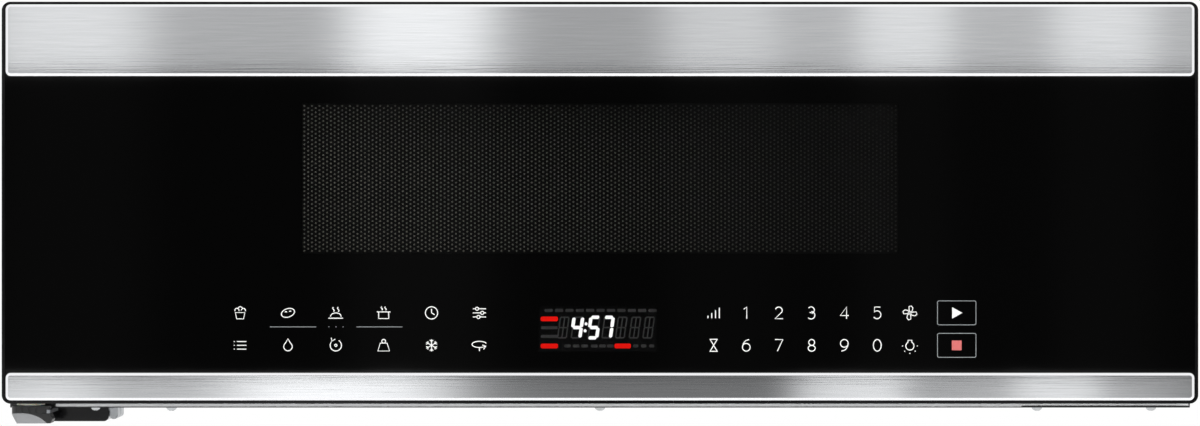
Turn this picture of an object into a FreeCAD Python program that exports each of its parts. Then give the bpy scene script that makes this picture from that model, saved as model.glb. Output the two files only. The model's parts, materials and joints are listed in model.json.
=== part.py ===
import FreeCAD, Part
import math
import os

# Over the range microwave with a built-in hood, in millimetres.
# +X is the user's right, the door faces -Y, +Z is up. The origin is the middle of the rear face
# that hangs on the wall, so every other piece lies at negative Y.

# ---- driving dimensions -------------------------------------------------------------------------
WIDTH = 759.0  # 29 7/8 in, for a 30 in opening
CASE_HEIGHT = 260.0  # 10 1/4 in, a low profile case
DEPTH = 460.0  # wall to the front of the door
SHEET = 1.0  # formed steel sheet
SLIP = 0.1  # gap between pieces that are screwed or seated together
RUN = 0.06  # radial clearance of a shaft in its bearing

DOOR_DEPTH = 40.0
DOOR_GAP = 2.5  # between the door's back and the front plate
DOOR_TOP = 129.2
DOOR_BOTTOM = -125.8
DOOR_CORNER = 5.5
DOOR_WALL = 2.0
HEEL_RADIUS = 10.0  # rounded back edge beside the hinge, so that the door can swing

GLASS_TOP = 81.4
GLASS_BOTTOM = -105.6
GLASS_THICK = 3.2
TRIM_BEVEL = 1.6
TRIM_THICK = 2.4

CAVITY_X = 265.0  # half the width inside the oven
CAVITY_LOW = -65.0
CAVITY_HIGH = 100.0
CAVITY_DEPTH = 330.0
CAVITY_CORNER = 8.0
CHOKE_WIDTH = 20.0

HINGE_X = -363.0
HINGE_BEHIND_FACE = 18.0  # hinge axis behind the door's front face
PIN_RADIUS = 4.0

TRAY_RADIUS = 150.0
RECESS_RADIUS = 156.0
RECESS_DEPTH = 2.5
ROLLER_RADIUS = 8.0
ROLLER_TRACK = 95.0  # radius of the circle that the rollers run on
ROLLER_GAP = 0.3

FILTER_SIZE = (260.0, 180.0)  # grease filter opening, along X and Y
FILTER_X = 150.0
FILTER_Y = -240.0
LAMP_X = 150.0
LAMP_Y = -375.0
DUCT_SIZE = (254.0, 82.5)  # 10 x 3 1/4 in rectangular duct
DUCT_Y = -55.0
DUCT_RISE = 12.0
BLOWER_Y = -44.0
BLOWER_Z = 72.0
WHEEL_RADIUS = 32.0
FAN_X = 322.0
FAN_Z = 25.0
FAN_RADIUS = 44.0
LATCH_X = 325.0
HOOK_HEIGHTS = (-55.0, 55.0)
BOLT_X = 330.0  # cabinet bolts, half their spacing
BOLT_Y = -283.0
CORD_PLACE = (320.0, -60.0)
BASE_SCREW_X = (-325.0, -276.0, 0.0, 281.5, 355.0)
BASE_SCREW_Y = -412.0

# ---- worked out from them -----------------------------------------------------------------------
SIDE = WIDTH / 2
TOP = CASE_HEIGHT / 2
BOTTOM = -TOP
FRONT = -DEPTH
DOOR_BACK = FRONT + DOOR_DEPTH
PLATE = DOOR_BACK + DOOR_GAP  # front of the front plate
CAVITY_MOUTH = PLATE + SHEET
CAVITY_BACK = CAVITY_MOUTH + CAVITY_DEPTH
INNER_SIDE = SIDE - SHEET
HINGE_Y = FRONT + HINGE_BEHIND_FACE
TRAY_Y = (CAVITY_MOUTH + CAVITY_BACK) / 2
TRACK_Z = CAVITY_LOW - RECESS_DEPTH
ROLLER_Z = TRACK_Z + ROLLER_GAP + ROLLER_RADIUS
TRAY_Z = ROLLER_Z + ROLLER_RADIUS + ROLLER_GAP

V = FreeCAD.Vector
X_AXIS = V(1, 0, 0)
Y_AXIS = V(0, 1, 0)
Z_AXIS = V(0, 0, 1)


# ---- small tools --------------------------------------------------------------------------------
def block(x, y, z):
    """Box between two limits along each axis."""
    return Part.makeBox(x[1] - x[0], y[1] - y[0], z[1] - z[0], V(x[0], y[0], z[0]))


def rod(radius, start, end):
    """Round bar from one point to another."""
    a = V(*start)
    b = V(*end)
    return Part.makeCylinder(radius, (b - a).Length, a, b - a)


def straight_edges(shape, axis):
    """Straight edges that run along an axis."""
    found = []
    for edge in shape.Edges:
        if len(edge.Vertexes) == 2 and edge.Curve.TypeId == "Part::GeomLine":
            if abs(edge.Curve.Direction.dot(axis)) > 0.999:
                found.append(edge)
    return found


def panel(x, y, z, axis, radius):
    """Box with its four edges along one axis rounded."""
    body = block(x, y, z)
    return body.makeFillet(radius, straight_edges(body, axis))


def joined(pieces):
    """One solid from pieces that touch or cross."""
    return pieces[0].multiFuse(pieces[1:]).removeSplitter()


def group(pieces):
    """Separate solids that share one node."""
    return Part.makeCompound(pieces)


def prism_x(points, x0, x1):
    """Outline of (y, z) points, carried along X."""
    wire = Part.makePolygon([V(x0, y, z) for y, z in points + points[:1]])
    return Part.Face(wire).extrude(V(x1 - x0, 0, 0))


def prism_y(points, y0, y1):
    """Outline of (x, z) points, carried along Y."""
    wire = Part.makePolygon([V(x, y0, z) for x, z in points + points[:1]])
    return Part.Face(wire).extrude(V(0, y1 - y0, 0))


def prism_z(points, z0, z1):
    """Outline of (x, y) points, carried along Z."""
    wire = Part.makePolygon([V(x, y, z0) for x, y in points + points[:1]])
    return Part.Face(wire).extrude(V(0, 0, z1 - z0))


def dome(radius, height, place):
    """Low screw head that hangs below its seat."""
    ball = (radius * radius + height * height) / (2 * height)
    x, y, z = place
    cap = Part.makeSphere(ball, V(x, y, z + ball - height))
    return cap.common(rod(radius * 1.5, (x, y, z - height), (x, y, z)))


def front_edges(shape, y):
    """Edges that lie in the plane at this Y."""
    return [e for e in shape.Edges if all(abs(v.Y - y) < 1e-6 for v in e.Vertexes)]


# ---- case and base ------------------------------------------------------------------------------
ROLL = 4.0  # outer radius of the case's upper corners
SEAM = TOP - ROLL  # where the top sheet meets the side panels
CASE_Y = (CAVITY_MOUTH + SLIP, -SHEET - SLIP)


def grille_opening(grow=0.0):
    """Limits along X and Y of the hole that the top grille fills."""
    return (-300 - grow, 300 + grow), (-408 - grow, -352 + grow)


def duct_limits(shrink=0.0):
    """Limits along X and Y of the exhaust duct."""
    half_x = DUCT_SIZE[0] / 2 - shrink
    half_y = DUCT_SIZE[1] / 2 - shrink
    return (-half_x, half_x), (DUCT_Y - half_y, DUCT_Y + half_y)


def outer_case():
    """Top sheet, rolled down at both sides as far as the seams."""
    outside = panel((-SIDE, SIDE), CASE_Y, (BOTTOM, TOP), Y_AXIS, ROLL)
    hollow = panel((-INNER_SIDE, INNER_SIDE), (-DEPTH, 10), (BOTTOM, TOP - SHEET), Y_AXIS, ROLL - SHEET)
    below = block((-SIDE, SIDE), CASE_Y, (BOTTOM, SEAM + SLIP / 2))
    vent_x, vent_y = grille_opening()
    duct_x, duct_y = duct_limits(SHEET)
    holes = [
        block(vent_x, vent_y, (TOP - 10, TOP + 10)),
        block(duct_x, duct_y, (TOP - 10, TOP + 10)),
        rod(11, (*CORD_PLACE, TOP - 10), (*CORD_PLACE, TOP + 10)),
    ]
    for x in (-BOLT_X, BOLT_X):
        holes.append(rod(4.0, (x, BOLT_Y, TOP - 10), (x, BOLT_Y, TOP + 10)))
    return outside.cut([hollow, below] + holes)


def side_panels():
    """Flat side sheets below the seams."""
    z = (BOTTOM, SEAM - SLIP / 2)
    return group([block((-SIDE, -INNER_SIDE), CASE_Y, z), block((INNER_SIDE, SIDE), CASE_Y, z)])


def back_panel():
    """Rear sheet with pressed beads and the two slots that hang on the wall plate."""
    sheet = panel((-SIDE, SIDE), (-SHEET, 0), (BOTTOM, TOP), Y_AXIS, 4)
    beads = []
    grooves = []
    for z in (-60, -20, 20):
        beads.append(rod(2.6, (-330, 0, z), (330, 0, z)))
        grooves.append(rod(1.6, (-330, 0, z), (330, 0, z)))
    slots = []
    for x in (-250, 250):
        slots.append(panel((x - 30, x + 30), (-8, 5), (-112, -105), Y_AXIS, 3))
    behind = block((-SIDE, SIDE), (0, 10), (BOTTOM, TOP))
    return joined([sheet] + beads).cut(grooves + slots + [behind])


def filter_opening(side, grow=0.0):
    """Limits along X and Y of one grease filter opening; side is -1 or 1."""
    half_x = FILTER_SIZE[0] / 2 + grow
    half_y = FILTER_SIZE[1] / 2 + grow
    middle = side * FILTER_X
    return (middle - half_x, middle + half_x), (FILTER_Y - half_y, FILTER_Y + half_y)


def base_pan():
    """Underside sheet: filter and lamp openings, upturned rims and a front lip below the door."""
    x = (-INNER_SIDE + SLIP, INNER_SIDE - SLIP)
    y = (PLATE, -SHEET - SLIP)
    floor = panel(x, y, (BOTTOM, BOTTOM + 1.2), Z_AXIS, 1.5)
    pieces = [
        floor,
        block(x, (PLATE, PLATE + 1.2), (BOTTOM, -117.3)),
        block(x, (y[1] - 1.2, y[1]), (BOTTOM, -118)),
        block((x[0], x[0] + 1.2), y, (BOTTOM, -118)),
        block((x[1] - 1.2, x[1]), y, (BOTTOM, -118)),
    ]
    holes = []
    for side in (-1, 1):
        rim_x, rim_y = filter_opening(side, 1.2)
        pieces.append(block(rim_x, rim_y, (BOTTOM, BOTTOM + 9)))
        hole_x, hole_y = filter_opening(side)
        holes.append(block(hole_x, hole_y, (BOTTOM - 5, BOTTOM + 20)))
        lamp = side * LAMP_X
        holes.append(panel((lamp - 45, lamp + 45), (LAMP_Y - 22, LAMP_Y + 22), (-140, -120), Z_AXIS, 6))
        for row in range(7):
            y0 = -130 + row * 10
            slot_x = (290, 360) if side > 0 else (-360, -290)
            holes.append(block(slot_x, (y0, y0 + 4), (-140, -120)))
    for screw in BASE_SCREW_X:
        holes.append(rod(2.0, (screw, BASE_SCREW_Y, -140), (screw, BASE_SCREW_Y, -120)))
    return joined(pieces).cut(holes)


def front_plate():
    """Plate round the oven mouth, with turned-in flanges and the slots for hooks and hinge arm."""
    plate = panel((-SIDE, SIDE), (PLATE, PLATE + SHEET), (-117, TOP), Y_AXIS, 2)
    inner = INNER_SIDE - SLIP
    flange_y = (PLATE, PLATE + 13)
    pieces = [
        plate,
        block((-inner + 6, inner - 6), (PLATE, PLATE + 8), (TOP - 2 * SHEET - SLIP, TOP - SHEET - SLIP)),
        block((-inner, -inner + SHEET), flange_y, (-117, TOP - 8)),
        block((inner - SHEET, inner), flange_y, (-117, TOP - 8)),
        block((-inner, inner), flange_y, (-117, -116)),
    ]
    mouth = panel(
        (-CAVITY_X, CAVITY_X), (-DEPTH, 0), (CAVITY_LOW, CAVITY_HIGH), Y_AXIS, CAVITY_CORNER
    )
    slots = [block((HINGE_X - 8, HINGE_X + 8), (PLATE - 5, PLATE + SHEET + 1), (121.3, 125.7))]
    for z in HOOK_HEIGHTS:
        slots.append(
            panel((LATCH_X - 7, LATCH_X + 9), (PLATE - 5, PLATE + 5), (z - 12, z + 10), Y_AXIS, 2)
        )
    return joined(pieces).cut([mouth] + slots)


def top_vent_grille():
    """Outlet for filtered room air: frame, cross ribs and tilted louvres."""
    x, y = grille_opening(-0.4)
    rim_x, rim_y = grille_opening(4)
    frame = block(x, y, (TOP - 6, TOP + 0.1 + 1.2))
    rim = panel(rim_x, rim_y, (TOP + 0.1, TOP + 1.3), Z_AXIS, 4)
    hole = block((x[0] + 2.5, x[1] - 2.5), (y[0] + 2.5, y[1] - 2.5), (TOP - 20, TOP + 20))
    pieces = [joined([frame, rim]).cut(hole)]
    ribs = 7
    for i in range(1, ribs):
        at = x[0] + i * (x[1] - x[0]) / ribs
        pieces.append(block((at - 1.2, at + 1.2), (y[0] + 1, y[1] - 1), (TOP - 6, TOP + 0.6)))
    louvres = 7
    for i in range(louvres):
        at = y[0] + (i + 0.7) * (y[1] - y[0]) / louvres
        vane = [(at - 3, TOP - 5.5), (at - 1.6, TOP - 5.5), (at + 3, TOP + 0.3), (at + 1.6, TOP + 0.3)]
        pieces.append(prism_x(vane, x[0] + 1, x[1] - 1))
    return joined(pieces)


def charcoal_filter():
    """Framed pleated pack below the top grille."""
    x = (-190.0, 190.0)
    y = (-404.0, -356.0)
    z = (102.5, 122.5)
    frame = block(x, y, z)
    frame = frame.cut(block((x[0] + 3, x[1] - 3), (y[0] + 3, y[1] - 3), (z[0] - 1, z[1] + 1)))
    folds = 22
    step = (x[1] - x[0] - 6) / folds
    upper = []
    lower = []
    for i in range(folds + 1):
        at = x[0] + 3 + i * step
        high = i % 2 == 0
        upper.append(V(at, y[0] + 2, z[1] - 2 if high else z[0] + 4))
        lower.append(V(at, y[0] + 2, z[1] - 4 if high else z[0] + 2))
    outline = Part.makePolygon(upper + lower[::-1] + upper[:1])
    pleats = Part.Face(outline).extrude(V(0, y[1] - y[0] - 4, 0))
    return joined([frame, pleats])


def exhaust_spigot():
    """Duct collar on the case top, with a stop ledge and bearings for the damper."""
    x, y = duct_limits()
    in_x, in_y = duct_limits(SHEET)
    stop_x, stop_y = duct_limits(5)
    z0 = TOP + SLIP
    foot = panel((x[0] - 14, x[1] + 14), (y[0] - 10, y[1] + 9), (z0, z0 + 1.2), Z_AXIS, 4)
    collar = panel(x, y, (z0, TOP + DUCT_RISE), Z_AXIS, 2)
    bore = block(in_x, in_y, (z0 + 3, TOP + 40))
    throat = block(stop_x, stop_y, (z0 - 5, TOP + 40))
    pivot = rod(1.5 + RUN, (x[0] - 1, *damper_axis()), (x[1] + 1, *damper_axis()))
    return joined([foot, collar]).cut([bore, throat, pivot])


def damper_axis():
    """Y and Z of the damper's pivot line."""
    return DUCT_Y + DUCT_SIZE[1] / 2 - 5, TOP + 6.5


def damper_flap():
    """Backdraught flap that the fan's air lifts."""
    x, y = duct_limits(SHEET + 1.0)
    pivot_y, pivot_z = damper_axis()
    leaf = block(x, (y[0], pivot_y), (pivot_z - 0.5, pivot_z + 0.5))
    barrel = rod(2.4, (x[0], pivot_y, pivot_z), (x[1], pivot_y, pivot_z))
    pin = rod(1.5, (x[0] - 2, pivot_y, pivot_z), (x[1] + 2, pivot_y, pivot_z))
    return joined([leaf, barrel, pin])


def cord_bushing():
    """Grommet where the supply cord leaves the case top; the cord itself is not made."""
    x, y = CORD_PLACE
    body = rod(10.8, (x, y, TOP - 6), (x, y, TOP + 6))
    lip = rod(14, (x, y, TOP + 0.1), (x, y, TOP + 3))
    inside = rod(14, (x, y, TOP - 5), (x, y, TOP - SHEET - 0.1))
    return joined([body, lip, inside]).cut(rod(7, (x, y, TOP - 9), (x, y, TOP + 9)))


def cabinet_bolt_nuts():
    """Weld nuts under the case top for the two bolts from the cabinet above."""
    nuts = []
    for x in (-BOLT_X, BOLT_X):
        corners = []
        for i in range(6):
            turn = math.radians(60 * i)
            corners.append((x + 6.4 * math.cos(turn), BOLT_Y + 6.4 * math.sin(turn)))
        nut = prism_z(corners, TOP - SHEET - 8, TOP - SHEET)
        nuts.append(nut.cut(rod(3.2, (x, BOLT_Y, TOP - 20), (x, BOLT_Y, TOP + 20))))
    return group(nuts)


def base_screws():
    """Dome-headed screws along the front of the base pan."""
    screws = []
    for x in BASE_SCREW_X:
        shank = rod(1.9, (x, BASE_SCREW_Y, BOTTOM - 0.1), (x, BASE_SCREW_Y, BOTTOM + 6))
        screws.append(dome(3.4, 2.4, (x, BASE_SCREW_Y, BOTTOM - 0.02)).fuse(shank))
    return group(screws)


def case_screws():
    """Dome-headed screws along the sides of the base pan, set back from the front."""
    screws = []
    for x in (-370, 370):
        for y in (-330, -190, -50):
            screws.append(dome(3.4, 2.0, (x, y, BOTTOM - 0.02)))
    return group(screws)


def lamp_lenses():
    """Clear covers of the two cooktop lamps."""
    lenses = []
    for x in (-LAMP_X, LAMP_X):
        y = (LAMP_Y - 21.7, LAMP_Y + 21.7)
        window = panel((x - 44.7, x + 44.7), y, (BOTTOM - 0.4, BOTTOM + 1.4), Z_AXIS, 5.7)
        lip_y = (y[0] - 4, y[1] + 4)
        lip = panel((x - 49, x + 49), lip_y, (BOTTOM + 1.3, BOTTOM + 3), Z_AXIS, 6)
        lenses.append(joined([window, lip]))
    return group(lenses)


def lamp_boards():
    """Lamp boards with their diodes, above the lenses."""
    boards = []
    for x in (-LAMP_X, LAMP_X):
        board = block((x - 36, x + 36), (LAMP_Y - 16, LAMP_Y + 16), (-114, -112.4))
        diodes = [board]
        for dx in (-24, 0, 24):
            diodes.append(block((x + dx - 3, x + dx + 3), (LAMP_Y - 3, LAMP_Y + 3), (-116, -114)))
        for dx in (-33, 33):
            diodes.append(rod(2.5, (x + dx, LAMP_Y + 12, -126.9), (x + dx, LAMP_Y + 12, -113)))
        boards.append(joined(diodes))
    return group(boards)


def grease_filter(side):
    """Framed aluminium mesh with a flat pull ring; side is -1 or 1."""
    x, y = filter_opening(side, -1)
    z = (BOTTOM - 0.6, BOTTOM + 7)
    rail = 9.0
    mesh_x = (x[0] + rail, x[1] - rail)
    mesh_y = (y[0] + rail, y[1] - rail)
    frame = panel(x, y, z, Z_AXIS, 4).cut(block(mesh_x, mesh_y, (z[0] - 5, z[1] + 5)))
    sheet = block((mesh_x[0] - 1, mesh_x[1] + 1), (mesh_y[0] - 1, mesh_y[1] + 1), (-127.5, -126))
    gaps = []
    columns = 9
    rows = 5
    pitch_x = (mesh_x[1] - mesh_x[0]) / columns
    pitch_y = (mesh_y[1] - mesh_y[0]) / rows
    for i in range(columns):
        for j in range(rows):
            cx = mesh_x[0] + (i + 0.5) * pitch_x
            cy = mesh_y[0] + (j + 0.5) * pitch_y
            diamond = [(cx - 9, cy), (cx, cy - 11), (cx + 9, cy), (cx, cy + 11)]
            gaps.append(prism_z(diamond, -130, -120))
    middle = side * FILTER_X
    ring = panel((middle - 14, middle + 14), (y[0] + 1, y[0] + 14), (-132.2, z[0]), Z_AXIS, 5)
    ring = ring.cut(panel((middle - 11, middle + 11), (y[0] + 4, y[0] + 11), (-140, -120), Z_AXIS, 3))
    return joined([frame, sheet.cut(gaps), ring])


def grease_filter_left():
    return grease_filter(-1)


def grease_filter_right():
    return grease_filter(1)


# ---- oven ---------------------------------------------------------------------------------------
def rounded_box(x, y, z, radius):
    """Box with every edge rounded except those of its front face."""
    body = block(x, y, z)
    front = front_edges(body, y[0])
    kept = [e for e in body.Edges if not any(e.isSame(f) for f in front)]
    return body.makeFillet(radius, kept)


def cavity_shell():
    """Five-sided oven liner with a pressed turntable recess, feed opening and lamp holes."""
    outside = rounded_box(
        (-CAVITY_X - SHEET, CAVITY_X + SHEET),
        (CAVITY_MOUTH + 0.05, CAVITY_BACK + SHEET),
        (CAVITY_LOW - SHEET, CAVITY_HIGH + SHEET),
        CAVITY_CORNER + SHEET,
    )
    inside = rounded_box(
        (-CAVITY_X, CAVITY_X), (CAVITY_MOUTH - 5, CAVITY_BACK), (CAVITY_LOW, CAVITY_HIGH), CAVITY_CORNER
    )
    dish = rod(RECESS_RADIUS + SHEET, (0, TRAY_Y, TRACK_Z - SHEET), (0, TRAY_Y, CAVITY_LOW))
    recess = rod(RECESS_RADIUS, (0, TRAY_Y, TRACK_Z), (0, TRAY_Y, CAVITY_LOW + 1))
    holes = [
        rod(9, (0, TRAY_Y, CAVITY_LOW - 10), (0, TRAY_Y, CAVITY_LOW + 5)),
        block((CAVITY_X - 5, CAVITY_X + 5), (-225, -175), (10, 50)),
    ]
    for i in range(4):
        for j in range(3):
            y = -170 + i * 9
            z = 58 + j * 9
            holes.append(rod(2, (-CAVITY_X - 5, y, z), (-CAVITY_X + 5, y, z)))
    return joined([outside, dish]).cut([inside, recess] + holes)


def waveguide_cover():
    """Thin cover over the feed opening, inside the oven."""
    return panel((CAVITY_X - 1.1, CAVITY_X - 0.1), (-232, -168), (4, 56), X_AXIS, 4)


def waveguide():
    """Duct from the magnetron to the oven's right wall."""
    x0 = CAVITY_X + SHEET + SLIP
    outside = block((x0, 300), (-250, -150), (4, 56))
    flange = block((x0, x0 + 1), (-258, -142), (-4, 64))
    hollow = block((x0 + 1, 299), (-249, -151), (5, 55))
    feed = block((x0 - 5, x0 + 3), (-225, -175), (10, 50))
    antenna = rod(9, (290, -200, 30), (310, -200, 30))
    return joined([outside, flange]).cut([hollow, feed, antenna])


def magnetron():
    """Yoke, cooling fins, magnets, filter box and antenna."""
    y = (-240, -160)
    z = (-10, 70)
    x = (300.2, 372)
    yoke = block(x, y, z).cut(block((x[0] + 2, x[1] - 2), (y[0] - 1, y[1] + 1), (z[0] + 2, z[1] - 2)))
    pieces = [
        yoke,
        rod(17, (301, -200, 30), (371, -200, 30)),
        rod(27, (302, -200, 30), (311, -200, 30)),
        rod(27, (361, -200, 30), (371, -200, 30)),
        rod(7, (286, -200, 30), (302, -200, 30)),
        block((312, 360), (-262, -236), (12, 48)),
    ]
    for i in range(6):
        at = 318 + i * 7.2
        pieces.append(block((at, at + 0.8), (y[0] + 3, y[1] - 3), (z[0] + 1, z[1] - 1)))
    return joined(pieces)


def transformer():
    """Laminated core with two windings on its middle leg, on a welded foot."""
    x = (288, 368)
    y = (-352, -292)
    z = (-122, -60)
    through = (y[0] - 5, y[1] + 5)
    windows = [
        block((x[0] + 13, x[0] + 28), through, (z[0] + 11, z[1] - 11)),
        block((x[1] - 28, x[1] - 13), through, (z[0] + 11, z[1] - 11)),
    ]
    core = block(x, y, z).cut(windows)
    foot = block((x[0] - 4, x[1] + 6), (y[0] + 6, y[1] - 6), (BOTTOM + 1.3, z[0]))
    coils = []
    for low, high in ((z[0] + 12, -94), (-90, z[1] - 12)):
        coil = panel((x[0] + 14, x[1] - 14), (y[0] - 13, y[1] + 13), (low, high), Z_AXIS, 13)
        coils.append(coil.cut(block((x[0] + 28, x[1] - 28), y, z)))
    return joined([core, foot] + coils)


def hv_capacitor():
    """Oval can with two terminals and its strap."""
    can = panel((298, 336), (-260, -200), (BOTTOM + 1.3, -58), Z_AXIS, 18.9)
    strap = panel((296.5, 337.5), (-261.5, -198.5), (-104, -92), Z_AXIS, 20)
    pieces = [can, strap]
    for y in (-244, -216):
        pieces.append(rod(5, (317, y, -59), (317, y, -52)))
        pieces.append(block((313, 321), (y - 0.5, y + 0.5), (-53, -42)))
    return joined(pieces)


def fan_housing():
    """Square duct of the cooling fan, with the arms that carry its motor."""
    half = 50
    x = (FAN_X - half, FAN_X + half)
    z = (FAN_Z - half, FAN_Z + half)
    frame = panel(x, (-134, -104), z, Y_AXIS, 6)
    frame = frame.cut(rod(FAN_RADIUS + 3, (FAN_X, -140, FAN_Z), (FAN_X, -90, FAN_Z)))
    arms = [
        block((x[0] + 2, x[1] - 2), (-106.5, -104), (FAN_Z - 4, FAN_Z + 4)),
        block((FAN_X - 4, FAN_X + 4), (-106.5, -104), (z[0] + 2, z[1] - 2)),
        rod(15, (FAN_X, -106.5, FAN_Z), (FAN_X, -104, FAN_Z)),
    ]
    return joined([frame] + arms).cut(rod(4, (FAN_X, -140, FAN_Z), (FAN_X, -90, FAN_Z)))


def fan_motor():
    """Shaded-pole motor of the cooling fan."""
    stack = panel((FAN_X - 24, FAN_X + 24), (-100, -84), (FAN_Z - 20, FAN_Z + 20), Y_AXIS, 4)
    coil = panel((FAN_X - 12, FAN_X + 12), (-103, -81), (FAN_Z - 36, FAN_Z - 19), X_AXIS, 5)
    boss = rod(9, (FAN_X, -103.8, FAN_Z), (FAN_X, -78, FAN_Z))
    return joined([stack, coil, boss]).cut(
        rod(2.5 + RUN, (FAN_X, -110, FAN_Z), (FAN_X, -82, FAN_Z))
    )


def fan_blade():
    """Five-bladed axial impeller on its shaft."""
    hub = rod(12, (FAN_X, -128, FAN_Z), (FAN_X, -110, FAN_Z))
    shaft = rod(2.5, (FAN_X, -128, FAN_Z), (FAN_X, -84, FAN_Z))
    rim = rod(FAN_RADIUS, (FAN_X, -132, FAN_Z), (FAN_X, -108, FAN_Z))
    pieces = [hub, shaft]
    blades = 5
    for i in range(blades):
        blade = Part.makeBox(28, 1.6, 50, V(-14, -0.8, 6))
        blade.rotate(V(0, 0, 0), Z_AXIS, 35)
        blade.rotate(V(0, 0, 0), Y_AXIS, 360 * i / blades)
        blade.translate(V(FAN_X, -119, FAN_Z))
        pieces.append(blade.common(rim))
    return joined(pieces)


# ---- vent blower --------------------------------------------------------------------------------
def blower_housing():
    """Two scrolls that blow upwards, one each side of the motor, joined by the motor's cradle."""
    shells = []
    for side in (-1, 1):
        x = sorted((side * 52, side * 148))
        round_part = rod(39.5, (x[0], BLOWER_Y, BLOWER_Z), (x[1], BLOWER_Y, BLOWER_Z))
        chute = block(x, (-83.5, -36), (BLOWER_Z, TOP - SHEET - 0.5))
        hollow_x = (x[0] + SHEET, x[1] - SHEET)
        round_hole = rod(38.3, (hollow_x[0], BLOWER_Y, BLOWER_Z), (hollow_x[1], BLOWER_Y, BLOWER_Z))
        chute_hole = block(hollow_x, (-82.3, -37.2), (BLOWER_Z, TOP + 5))
        inlet = rod(26, (side * 140, BLOWER_Y, BLOWER_Z), (side * 155, BLOWER_Y, BLOWER_Z))
        eye = rod(20, (side * 45, BLOWER_Y, BLOWER_Z), (side * 60, BLOWER_Y, BLOWER_Z))
        shell = round_part.fuse(chute).cut([round_hole.fuse(chute_hole), inlet, eye])
        shells.append(shell)
    cradle = block((-53, 53), (BLOWER_Y - 12, BLOWER_Y + 12), (BLOWER_Z - 38.5, BLOWER_Z - 36))
    return joined(shells + [cradle])


def blower_motor():
    """Double-shaft motor in the cradle."""
    can = rod(31, (-38, BLOWER_Y, BLOWER_Z), (38, BLOWER_Y, BLOWER_Z))
    bosses = rod(12, (-46, BLOWER_Y, BLOWER_Z), (46, BLOWER_Y, BLOWER_Z))
    feet = block((-30, 30), (BLOWER_Y - 10, BLOWER_Y + 10), (BLOWER_Z - 35.9, BLOWER_Z - 28))
    shaft_hole = rod(4 + RUN, (-60, BLOWER_Y, BLOWER_Z), (60, BLOWER_Y, BLOWER_Z))
    return joined([can, bosses, feet]).cut(shaft_hole)


def squirrel_cage(side):
    """One wheel: closed disc towards the motor, leaning blades and an open end ring."""
    x_disc = side * 58
    x_ring = side * 142
    centre = (BLOWER_Y, BLOWER_Z)
    disc = rod(WHEEL_RADIUS, (x_disc, *centre), (x_disc + side * 2, *centre))
    ring = rod(WHEEL_RADIUS, (x_ring - side * 3, *centre), (x_ring, *centre))
    ring = ring.cut(rod(WHEEL_RADIUS - 4, (x_ring - side * 9, *centre), (x_ring + side * 9, *centre)))
    hub = rod(9, (x_disc, *centre), (x_disc + side * 20, *centre))
    pieces = [disc, ring, hub]
    blades = 20
    length = abs(x_ring - x_disc) - 2
    for i in range(blades):
        blade = Part.makeBox(length, 1.0, 7.5, V(min(x_disc, x_ring) + 1, -0.5, -3.75))
        blade.rotate(V(0, 0, 0), X_AXIS, 38)
        blade.translate(V(0, 0, WHEEL_RADIUS - 3.4))
        blade.rotate(V(0, 0, 0), X_AXIS, 360 * i / blades)
        blade.translate(V(0, *centre))
        pieces.append(blade)
    return pieces


def blower_wheels():
    """Both wheels on one shaft."""
    shaft = rod(4, (-140, BLOWER_Y, BLOWER_Z), (140, BLOWER_Y, BLOWER_Z))
    return joined([shaft] + squirrel_cage(-1) + squirrel_cage(1))


# ---- turntable ----------------------------------------------------------------------------------
def glass_tray():
    """Turned glass dish with a raised rim and three driving lugs below its middle."""
    base = TRAY_Z
    profile = [
        (0, base),
        (TRAY_RADIUS - 24, base),
        (TRAY_RADIUS - 8, base + 4),
        (TRAY_RADIUS, base + 11),
        (TRAY_RADIUS - 1, base + 12.5),
        (TRAY_RADIUS - 4, base + 11.5),
        (TRAY_RADIUS - 11, base + 7.5),
        (TRAY_RADIUS - 25, base + 4),
        (0, base + 4),
    ]
    points = [V(r, TRAY_Y, z) for r, z in profile]
    face = Part.Face(Part.makePolygon(points + points[:1]))
    dish = face.revolve(V(0, TRAY_Y, 0), Z_AXIS, 360)
    pieces = [dish]
    for i in range(3):
        lug = Part.makeBox(7, 7, 6.5, V(14, -3.5, base - 6))
        lug.rotate(V(0, 0, 0), Z_AXIS, 60 + 120 * i)
        lug.translate(V(0, TRAY_Y, 0))
        pieces.append(lug)
    return joined(pieces)


def drive_coupler():
    """Three-lobed coupler and its D-shaped stem, which turns the tray by its lugs."""
    z = (TRAY_Z - 12, TRAY_Z - 0.4)
    pieces = [rod(10, (0, TRAY_Y, z[0]), (0, TRAY_Y, z[1]))]
    for i in range(3):
        turn = math.radians(120 * i)
        x = 14 * math.cos(turn)
        y = TRAY_Y + 14 * math.sin(turn)
        pieces.append(rod(6.5, (x, y, z[0]), (x, y, z[1])))
    pieces.append(rod(4, (0, TRAY_Y, -86), (0, TRAY_Y, z[0])))
    body = joined(pieces)
    return body.cut(block((2.9, 6), (TRAY_Y - 6, TRAY_Y + 6), (-90, -80)))


def turntable_motor():
    """Flat synchronous motor below the oven floor."""
    floor = TRACK_Z - SHEET
    can = rod(25, (0, TRAY_Y, floor - 18), (0, TRAY_Y, floor - 0.4))
    ears = panel((-34, 34), (TRAY_Y - 6, TRAY_Y + 6), (floor - 2, floor - 0.4), Z_AXIS, 5.9)
    ears = ears.cut([rod(2, (x, TRAY_Y, -90), (x, TRAY_Y, -60)) for x in (-29, 29)])
    gearbox = panel((-10, 10), (TRAY_Y + 18, TRAY_Y + 34), (floor - 16, floor - 4), Z_AXIS, 3)
    shaft_hole = rod(4 + RUN, (0, TRAY_Y, floor - 17.6), (0, TRAY_Y, floor + 5))
    return joined([can, ears, gearbox]).cut(shaft_hole)


def roller_angles():
    """Directions of the three rollers, in degrees from +X."""
    return (90, 210, 330)


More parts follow.
